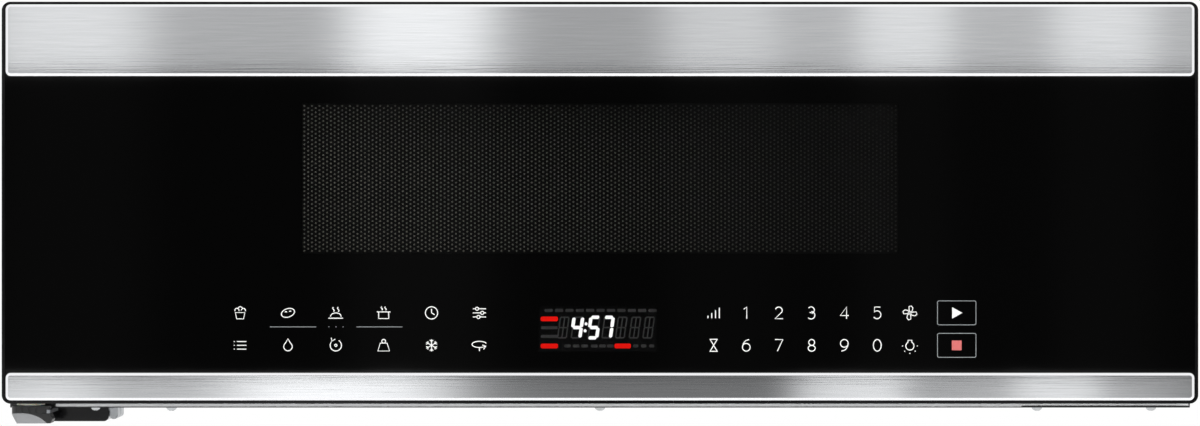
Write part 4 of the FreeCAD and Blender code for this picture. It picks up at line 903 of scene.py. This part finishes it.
@dataclass
class KeyLegends:
    """Key marks of the touch panel: plain numbers, line pictograms and two boxed keys."""

    line: float = 0.72
    digit_line: float = 0.76
    rule_line: float = 0.5
    digit_height: float = 7.4
    rows: Point = (-68.2, -88.8)
    left_x: float = -228.3
    left_pitch: float = 30.36
    level_x: float = 72.1
    digit_x: float = 92.7
    digit_pitch: float = 20.8
    icon_x: float = 196.6
    rules_z: float = -77.1
    rules_x: tuple[Point, ...] = ((-209.4, -180.0), (-154.6, -125.3))
    dots_x: Triple = (-172.3, -167.8, -163.3)
    dot_width: float = 0.6
    box_x: float = 226.3
    box_half: Point = (12.2, 7.6)
    start: tuple[Point, ...] = ((-2.9, 3.6), (-2.9, -3.6), (3.6, 0.0))
    stop_half: float = 3.1
    raised: float = 0.05

    def front(self) -> float:
        """Y of the glass's face, in mm."""
        return box_mm("door_glass")[0].y

    def ink(self, name: str, lines: Iterable[Line], width: float, paint: str) -> None:
        """Print lines as one thin piece.

        Args:
            name: The piece's name.
            lines: Lists of points in mm.
            width: Line width in mm.
            paint: The ink.
        """
        curve = bpy.data.curves.new(name, "CURVE")
        curve.dimensions = "3D"
        curve.bevel_depth = width / 2 * MM
        curve.bevel_resolution = 1
        curve.use_fill_caps = True
        for points in lines:
            closed = math.dist(points[0], points[-1]) < NIL
            kept = points[:-1] if closed else points
            spline = curve.splines.new("POLY")
            spline.points.add(len(kept) - 1)
            for point, (x, z) in zip(spline.points, kept):
                point.co = (x * MM, 0, z * MM, 1)
            spline.use_cyclic_u = closed
        flat = Matrix.Diagonal((1, 2 * self.raised / width, 1, 1))
        made = as_mesh(linked(name, curve), name, Matrix.Translation((0, self.front() * MM, 0)) @ flat)
        settle(made, "door", "front_glass", paint=paint)

    def filled(self, name: str, shapes: Iterable[Line], paint: str, y: float) -> None:
        """Print filled outlines as one thin piece of the door.

        Args:
            name: The piece's name.
            shapes: Outlines in mm.
            paint: The ink.
            y: The face that they lie on, in mm.
        """
        mesh = bmesh.new()
        front = (y - self.raised) * MM
        for shape in shapes:
            face = mesh.faces.new([mesh.verts.new((x * MM, front, z * MM)) for x, z in shape])
            face.normal_update()
            if face.normal.y > 0:
                face.normal_flip()
        solid = bmesh.ops.extrude_face_region(mesh, geom=mesh.faces[:], use_keep_orig=True)
        back = [v for v in solid["geom"] if isinstance(v, bmesh.types.BMVert)]
        bmesh.ops.translate(mesh, verts=back, vec=(0, self.raised * MM, 0))
        bmesh.ops.recalc_face_normals(mesh, faces=mesh.faces)
        settle(edited(name, mesh), "door", "front_glass", paint=paint)

    def digit(self, character: str) -> list[list[Point]]:
        """Strokes of a plain round digit, in mm from its middle."""
        h, w = self.digit_height / 2, 2.5
        six = [
            [(1.9, h), *arc(1.9, -1.5, 4.2, 105, 180, (h + 1.5) / 4.2)[1:], (-2.3, -1.5)],
            arc(0.1, -h + 2.45, 2.45, 0, 360),
        ]
        three = [arc(-0.4, h - 1.95, 2.05, 140, -80), arc(-0.4, -h + 2.2, 2.4, 85, -140)]
        return {
            "0": [arc(0, 0, w, 0, 360, h / w)],
            "1": [[(-1.5, h - 1.4), (0.4, h), (0.4, -h)]],
            "2": [[*arc(-0.1, h - 2.2, 2.2, 160, -25), (-2.5, -h), (2.6, -h)]],
            "3": [*three, [(-1.3, 0.2), (-0.2, 0.2)]],
            "4": [[(1.3, -h), (1.3, h), (-2.7, -1.7), (2.8, -1.7)]],
            "5": [[(2.0, h), (-1.7, h), (-1.9, 0.5), *arc(-0.2, -h + 2.5, 2.5, 110, -145)]],
            "6": six,
            "7": [[(-2.5, h), (2.5, h), (-1.0, -h)]],
            "8": [arc(0, h - 1.85, 1.85, 0, 360), arc(0, -h + 1.85, 2.25, 0, 360, 1.85 / 2.25)],
            "9": [turned(line, 180) for line in six],
        }[character]

    def build(self) -> None:
        """Print every mark."""
        top, low = self.rows
        left = (
            (Mark.TUB, Mark.TUBER, Mark.PLATE, Mark.POT, Mark.CLOCK, Mark.SLIDERS),
            (Mark.LIST, Mark.DROP, Mark.CYCLE, Mark.WEIGHT, Mark.FLAKE, Mark.TABLE),
        )
        placed = []
        for z, marks in zip(self.rows, left):
            placed += [(mark, self.left_x + i * self.left_pitch, z) for i, mark in enumerate(marks)]
        placed += [(Mark.LEVEL, self.level_x, top), (Mark.GLASS, self.level_x, low)]
        placed += [(Mark.FAN, self.icon_x, top), (Mark.LAMP, self.icon_x, low)]
        marks = [moved(line, x, z) for mark, x, z in placed for line in mark.value]
        self.ink("key_pictograms", marks, self.line, "white_print")
        digits = []
        for text, z in zip(("12345", "67890"), self.rows):
            for i, character in enumerate(text):
                x = self.digit_x + i * self.digit_pitch
                digits += [moved(line, x, z) for line in self.digit(character)]
        self.ink("key_digits", digits, self.digit_line, "white_print")
        spans = [*self.rules_x, *((x, x + self.dot_width) for x in self.dots_x)]
        rules = [[(x0, self.rules_z), (x1, self.rules_z)] for x0, x1 in spans]
        for z in self.rows:
            box = rounded_rectangle(self.box_x, z, *self.box_half, 1.0)
            rules.append(box + box[:1])
        self.ink("key_rules", rules, self.rule_line, "grey_print")
        self.filled("start_mark", [moved(self.start, self.box_x, top)], "white_print", self.front())
        half = self.stop_half
        square = [(-half, half), (-half, -half), (half, -half), (half, half)]
        self.filled("stop_mark", [moved(square, self.box_x, low)], "red_print", self.front())


@dataclass
class NumeralDisplay:
    """Seven-segment clock behind the glass: three lit digits, four unlit, and lit and unlit bars.

    A row of bars has their height, the level of their middle, their width and the x of their middles.
    """

    legends: KeyLegends
    cell: Point = (7.0, 14.6)
    pitch: float = 8.7
    first_x: float = -26.8
    colon_gap: float = 2.0
    colon_shift: float = 0.2
    colon_levels: Point = (0.36, 0.66)
    colon_radius: float = 0.95
    low: float = -84.9
    bar: float = 1.55
    lit_bar: float = 2.1
    unlit_bar: float = 0.85
    slant: float = 0.14
    shown: str = " 457   "

    SEGMENTS: ClassVar[dict[str, str]] = {"4": "fgbc", "5": "afgcd", "7": "abc", " ": ""}
    RED_ROWS: ClassVar = (
        (3.0, -72.1, 11.0, (-32.2,)),
        (3.0, -89.3, 11.0, (-32.2,)),
        (3.0, -89.3, 10.4, (14.4,)),
    )
    UNLIT_ROWS: ClassVar = (
        (1.9, -66.7, 5.2, tuple(-32.6 + 6.6 * i for i in range(11))),
        (1.9, -77.7, 10.5, (-32.2,)),
        (1.9, -83.2, 10.5, (-32.2,)),
        (1.9, -89.3, 4.2, (-20.6, -15.2, -9.8, -3.6, 1.6, 6.6)),
        (1.9, -89.3, 3.3, (22.7, 27.8, 32.8)),
    )

    def segment(self, x: float, name: str, width: float) -> list[Point]:
        """Outline of one slanted bar, width mm wide, of the digit whose cell starts at x."""
        w, h = self.cell[0] - self.bar, self.cell[1] - self.bar
        ends = {
            "a": ((0, h), (w, h)), "b": ((w, h), (w, h / 2)), "c": ((w, h / 2), (w, 0)),
            "d": ((0, 0), (w, 0)), "e": ((0, h / 2), (0, 0)), "f": ((0, h), (0, h / 2)),
            "g": ((0, h / 2), (w, h / 2)),
            "i": ((w / 2, h), (w / 2, h / 2)), "j": ((w / 2, h / 2), (w / 2, 0)),
        }[name]
        (ax, az), (bx, bz) = ends
        length = math.dist(*ends)
        ux, uz = (bx - ax) / length, (bz - az) / length
        t = width / 2
        gap, taper = 0.1, 0.55 * t
        near, far = gap + taper, length - gap - taper
        points = []
        for along, across in ((gap, 0), (near, t), (far, t), (length - gap, 0), (far, -t), (near, -t)):
            px = ax + ux * along - uz * across + self.bar / 2
            pz = az + uz * along + ux * across + self.bar / 2
            points.append((x + px + self.slant * (pz - self.cell[1] / 2), self.low + pz))
        return points

    def strips(self, rows: Iterable[tuple[float, float, float, Sequence[float]]]) -> list[list[Point]]:
        """Outlines of the rounded bars of some rows."""
        return [
            rounded_rectangle(x, z, width / 2, height / 2, 0.35 * height)
            for height, z, width, places in rows
            for x in places
        ]

    def build(self) -> None:
        """Make lit, unlit and red marks on the module's face."""
        face = box_mm("display_module")[0].y
        lit = []
        dark = []
        for i, character in enumerate(self.shown):
            x = self.first_x + i * self.pitch + (self.colon_gap if i > 1 else 0)
            for name in "abcdefg" if self.SEGMENTS[character] else "abcdefgij":
                on = name in self.SEGMENTS[character]
                (lit if on else dark).append(self.segment(x, name, self.lit_bar if on else self.unlit_bar))
        colon = self.first_x + 2 * self.pitch + self.colon_shift
        for level in self.colon_levels:
            up = level * self.cell[1]
            x = colon + self.slant * (up - self.cell[1] / 2)
            lit.append(arc(x, self.low + up, self.colon_radius, 0, 340))
        self.legends.filled("display_lit", lit, "lit_white", face)
        self.legends.filled("display_unlit", dark + self.strips(self.UNLIT_ROWS), "unlit", face)
        self.legends.filled("display_red", self.strips(self.RED_ROWS), "lit_red", face)


# ---- door trims ---------------------------------------------------------------------------------
@dataclass
class TrimStrips:
    """Steel strips above and below the glass, each with a polished bevel round its brushed face."""

    corner: float = 3.5
    bevel: tuple[Point, ...] = ((0.3, 0.6), (0.45, 0.42), (2.0, 0.0))

    def strip(self, node: str) -> Object:
        """Make a strip over a node of the frame.

        Args:
            node: The node that it stands for.

        Returns:
            The strip: its side faces first, then those of the bevel, then its back and face.
        """
        lowest, highest = box_mm(node)
        middle, half = (lowest + highest) / 2, (highest - lowest) / 2
        mesh = bmesh.new()
        loops = []
        edge = [(self.bevel[0][0], highest.y)]
        for inset, y in edge + [(inset, lowest.y + depth) for inset, depth in self.bevel]:
            reach = (half.x - inset, half.z - inset)
            outline = rounded_rectangle(middle.x, middle.z, *reach, self.corner - inset)
            loops.append([mesh.verts.new((x * MM, y * MM, z * MM)) for x, z in outline])
        for outer, inner in zip(loops, loops[1:]):
            for i, vert in enumerate(outer):
                mesh.faces.new([outer[i - 1], vert, inner[i], inner[i - 1]])
        for loop in (loops[0], loops[-1]):
            mesh.faces.new(loop)
        bmesh.ops.recalc_face_normals(mesh, faces=mesh.faces)
        return edited(f"{node}_strip", mesh)

    def build(self) -> None:
        """Make both strips."""
        for node in ("top_trim", "bottom_trim"):
            made = self.strip(node)
            settle(made, "door", "stainless", [node])
            made.data.materials.append(finish("polished_steel"))
            rounds = (len(made.data.polygons) - 2) // len(self.bevel)
            for face in made.data.polygons[rounds:-2]:
                face.material_index = 1


# ---- turntable ----------------------------------------------------------------------------------
@dataclass
class GlassTray:
    """Pressed glass tray, turned smooth, with its stepped foot ring and driving lugs."""

    radius: float = 150.0
    height: float = 12.5
    axis_y: float = -251.5
    lug_ring: float = 17.5
    lug_size: Triple = (7.0, 7.0, 6.0)
    first_lug: float = 60.0

    def build(self) -> None:
        """Make the tray over the frame's own."""
        base = box_mm("glass_tray")[1].z - self.height
        # Each point is measured in from the rim and up from the base.
        under = [(24, 0), (16, 1.4), (8, 4.2), (3, 7.6)]
        rim = [(0, 11), (0.2, 11.9), (1, 12.5), (2.4, 12.4)]
        inside = [(4, 11.4), (8, 8.8), (13, 6.4), (20, 4.5)]
        ring = [(26, 4), (60, 4), (60.6, 3.6), (63, 3.6), (63.6, 4)]
        outline = [(self.radius - inward, base + up) for inward, up in under + rim + inside + ring]
        tray = mesh_object("pressed_glass_tray", *lathe([(0, base), *outline, (0, base + 4)], steps=128))
        tray.data.polygons.foreach_set("use_smooth", [True] * len(tray.data.polygons))
        axis = Matrix.Translation((0, self.axis_y * MM, 0))
        tray.data.transform(axis)
        mesh = bmesh.new()
        mesh.from_mesh(tray.data)
        for i in range(3):
            spin = Matrix.Rotation(math.radians(self.first_lug + 120 * i), 4, "Z")
            at = Matrix.Translation(Vector((self.lug_ring, 0, base - self.lug_size[2] / 2)) * MM)
            scale = Matrix.Diagonal((*(s * MM for s in self.lug_size), 1))
            bmesh.ops.create_cube(mesh, size=1.0, matrix=axis @ spin @ at @ scale)
        mesh.to_mesh(tray.data)
        mesh.free()
        settle(tray, "turntable", "tray_glass", ["glass_tray"])


# ---- carried-over nodes -------------------------------------------------------------------------
@dataclass
class FrameDresser:
    """Gives every node of the frame the finish of its slot, or its own where it has one."""

    OWN: ClassVar = {"base_pan": "pan_lip", "pivot_cap": "hinge_cap", "hinge_cable_cover": "door_black"}

    frame: dict[str, Any]

    def build(self) -> None:
        """Put the finishes in the nodes' material slots."""
        for row in self.frame["record"]["subparts"]:
            node = self.frame["nodes"][row["node"]]
            material = finish(self.OWN.get(row["node"], row["material_slot"]))
            if not node.material_slots:
                node.data.materials.append(None)
            for place in node.material_slots:
                place.material = material
            LOG.info("%s: %s", row["node"], material.name)


# ---- studio -------------------------------------------------------------------------------------
def seen(add: Adder) -> Any:
    """Socket that is 1 for camera, glossy and transmission rays."""
    path = add("ShaderNodeLightPath")
    value = path["Is Camera Ray"]
    for name in ("Is Glossy Ray", "Is Transmission Ray"):
        value = add("ShaderNodeMath", {0: value, 1: path[name]}, operation="MAXIMUM")[0]
    return value


@dataclass(frozen=True)
class PaleFloor(Surface):
    """Matt white sweep that glows faintly, fades out with distance (m) and is clear from below."""

    glow: float = 0.35
    fade: Point = (1.0, 4.0)

    def shader(self, add: Adder) -> Any:
        """Wire the sweep."""
        matt = add("ShaderNodeBsdfDiffuse", {"Color": linear("#E8E8E8")})[0]
        lift = add("ShaderNodeMath", {0: seen(add), 1: self.glow}, operation="MULTIPLY")[0]
        glow = add("ShaderNodeEmission", {"Strength": lift})[0]
        both = add("ShaderNodeAddShader", {0: matt, 1: glow})[0]
        clear = add("ShaderNodeBsdfTransparent")[0]
        below = add("ShaderNodeNewGeometry")["Backfacing"]
        place = add("ShaderNodeTexCoord")["Object"]
        flat = add("ShaderNodeVectorMath", {0: place, 1: (1, 1, 0)}, operation="MULTIPLY")[0]
        radius = add("ShaderNodeVectorMath", {0: flat}, operation="LENGTH")["Value"]
        span = {"Value": radius, "From Min": self.fade[0], "From Max": self.fade[1]}
        fade = add("ShaderNodeMapRange", span, interpolation_type="SMOOTHSTEP")[0]
        hidden = add("ShaderNodeMath", {0: below, 1: fade}, operation="MAXIMUM")[0]
        return add("ShaderNodeMixShader", {0: hidden, 1: both, 2: clear})[0]


@dataclass(frozen=True)
class StripLights(Surface):
    """Soft upright strip lights, each with a middle, a width (m) and a strength, round a dark flag.

    The upper ones show in the top strip of the door and the lower ones in the bottom strip.
    """

    glass_zone: Point = (-0.2085, 0.171)
    dimming: float = 0.055
    upper_base: float = 0.64
    lower_base: float = 0.26
    upper_strips: tuple[Triple, ...] = (
        (-0.68, 0.11, 0.47),
        (-0.232, 0.1, 0.7),
        (-0.01, 0.09, -0.1),
        (0.155, 0.075, 0.25),
        (0.39, 0.065, 0.38),
        (0.5, 0.35, 0.08),
        (0.645, 0.07, 0.38),
    )
    lower_strips: tuple[Triple, ...] = (
        (-0.74, 0.1, 0.5),
        (-0.48, 0.31, 0.52),
        (-0.33, 0.15, 0.8),
        (0.32, 0.075, 0.85),
        (0.56, 0.2, 0.42),
        (0.585, 0.06, 0.5),
    )

    def row(self, add: Adder, across: Any, level: Any, strips: Iterable[Triple]) -> Any:
        """Add the strips of one row to its even level.

        Args:
            add: Adds a node.
            across: Socket with the place across.
            level: The even level.
            strips: Middle, width and strength of each.

        Returns:
            Socket with the row's brightness.
        """
        for middle, width, strength in strips:
            bump = across
            off = (("SUBTRACT", middle), ("DIVIDE", width), ("ABSOLUTE", 0.0))
            for operation, number in (*off, ("POWER", 4.0), ("MULTIPLY", -1.0), ("EXPONENT", 0.0)):
                bump = add("ShaderNodeMath", {0: bump, 1: number}, operation=operation)[0]
            level = add("ShaderNodeMath", {0: bump, 1: strength, 2: level}, operation="MULTIPLY_ADD")[0]
        return level

    def shader(self, add: Adder) -> Any:
        """Wire both rows, and the flag at the height of the glass."""
        place = add("ShaderNodeTexCoord")["Object"]
        axes = add("ShaderNodeSeparateXYZ", {0: place})
        lower = self.row(add, axes[0], self.lower_base, self.lower_strips)
        upper = self.row(add, axes[0], self.upper_base, self.upper_strips)
        above = add("ShaderNodeMath", {0: axes[2], 1: self.glass_zone[0]}, operation="GREATER_THAN")[0]
        level = add("ShaderNodeMix", {0: above, 2: lower, 3: upper})[0]
        middle = sum(self.glass_zone) / 2
        zone = {0: axes[2], 1: middle, 2: self.glass_zone[1] - middle}
        flagged = add("ShaderNodeMath", zone, operation="COMPARE")[0]
        dim = add("ShaderNodeMath", {0: level, 1: self.dimming}, operation="MULTIPLY")[0]
        mixed = add("ShaderNodeMix", {0: flagged, 2: level, 3: dim})[0]
        return add("ShaderNodeEmission", {"Strength": mixed})[0]


@dataclass
class Studio:
    """Camera, soft lamps, pale floor, and the reflector that the metal and glass see, in metres."""

    distance: float = 3.0
    frame_width: float = 0.761
    eye_height: float = -0.00485
    ambient: float = 0.55
    floor_height: float = -0.55
    floor_half: float = 4.2
    panel_half: float = 1.3
    panel_low: float = -0.8
    panel_high: float = 0.9
    panel_gap: float = 0.05
    aim: Triple = (0.0, -0.3, 0.0)
    bulb_gap: float = 0.03

    def camera(self) -> None:
        """Look level along +Y at the door."""
        data = bpy.data.cameras.new("camera")
        data.lens = self.distance / self.frame_width * data.sensor_width
        camera = linked("camera", data)
        camera.location = (0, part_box("top_trim")[0].y - self.distance, self.eye_height)
        camera.rotation_euler = (math.pi / 2, 0, 0)
        bpy.context.scene.camera = camera

    def world(self) -> None:
        """White where it is seen or mirrored, softer as a light."""
        world = bpy.data.worlds.new("studio")
        world.use_nodes = True
        world.node_tree.nodes.clear()
        add = partial(add_node, world.node_tree)
        strength = add("ShaderNodeMapRange", {"Value": seen(add), "To Min": self.ambient, "To Max": 1.0})[0]
        sky = add("ShaderNodeBackground", {"Color": (1, 1, 1, 1), "Strength": strength})[0]
        add("ShaderNodeOutputWorld", {"Surface": sky})
        bpy.context.scene.world = world

    def floor(self) -> None:
        """Pale plane below the hanging oven."""
        half = self.floor_half
        corners = [(-half, -half), (half, -half), (half, half), (-half, half)]
        plane = mesh_object("floor", [(x, y, self.floor_height) for x, y in corners], [(0, 1, 2, 3)])
        plane.data.materials.append(PaleFloor("pale_floor").build())

    def reflector(self) -> None:
        """Panel of strip lights behind the camera, seen in what is shiny only."""
        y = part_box("top_trim")[0].y - self.distance - self.panel_gap
        half, low, high = self.panel_half, self.panel_low, self.panel_high
        corners = [(-half, low), (-half, high), (half, high), (half, low)]
        panel = mesh_object("reflector", [(x, y, z) for x, z in corners], [(3, 2, 1, 0)])
        panel.data.materials.append(StripLights("strip_lights").build())
        for ray in ("camera", "diffuse", "transmission", "volume_scatter", "shadow"):
            setattr(panel, f"visible_{ray}", False)

    def lamp(self, name: str, kind: str, place: Sequence[float], power: float) -> Object:
        """Add a lamp that nothing mirrors.

        Args:
            name: The lamp's name.
            kind: "AREA" or "POINT".
            place: Where it is, in metres.
            power: Its power in watts.

        Returns:
            The lamp.
        """
        data = bpy.data.lights.new(name, kind)
        data.energy = power
        lamp = linked(name, data)
        lamp.location = place
        lamp.visible_glossy = False
        return lamp

    def lamps(self) -> None:
        """Soft lamps in front, above and below, one behind, and the oven's own lamp with its glow."""
        for name, place, power, size in (
            ("key", (-1.9, -2.6, 1.9), 42.0, 1.6),
            ("fill", (2.2, -2.4, 1.1), 26.0, 1.6),
            ("low", (0.0, -2.7, -0.5), 22.0, 1.0),
            ("rear", (0.6, 2.6, 1.8), 20.0, 1.8),
        ):
            lamp = self.lamp(name, "AREA", place, power)
            lamp.data.size = size
            lamp.rotation_euler = (Vector(self.aim) - Vector(place)).to_track_quat("-Z", "Y").to_euler()
            lamp.visible_camera = False
        glow = self.lamp("oven_glow", "AREA", (-0.095, -0.25, 0.07), 0.2)
        glow.data.color = (1.0, 0.95, 0.87)
        glow.data.shape = "RECTANGLE"
        glow.data.size, glow.data.size_y = 0.3, 0.2
        glow.visible_camera = False
        lowest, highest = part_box("cavity_lamp")
        middle = (lowest + highest) / 2
        bulb = self.lamp("oven_lamp", "POINT", (highest.x + self.bulb_gap, middle.y, middle.z), 0.03)
        bulb.data.color = (1.0, 0.96, 0.9)
        bulb.data.shadow_soft_size = 0.012

    def build(self) -> None:
        """Set up the whole studio."""
        bpy.context.scene.view_settings.view_transform = "Standard"
        self.camera()
        self.world()
        self.floor()
        self.reflector()
        self.lamps()


def main() -> None:
    """Dress the frame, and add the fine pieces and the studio."""
    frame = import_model()
    FrameDresser(frame).build()
    holes = hole_grid_tree()
    WindowScreen().build(holes)
    GreaseFilters().build(holes)
    CaseScrews().build()
    legends = KeyLegends()
    legends.build()
    NumeralDisplay(legends).build()
    TrimStrips().build()
    GlassTray().build()
    Studio().build()


if __name__ == "__main__":
    logging.basicConfig(level=logging.INFO, format="%(message)s")
    main()
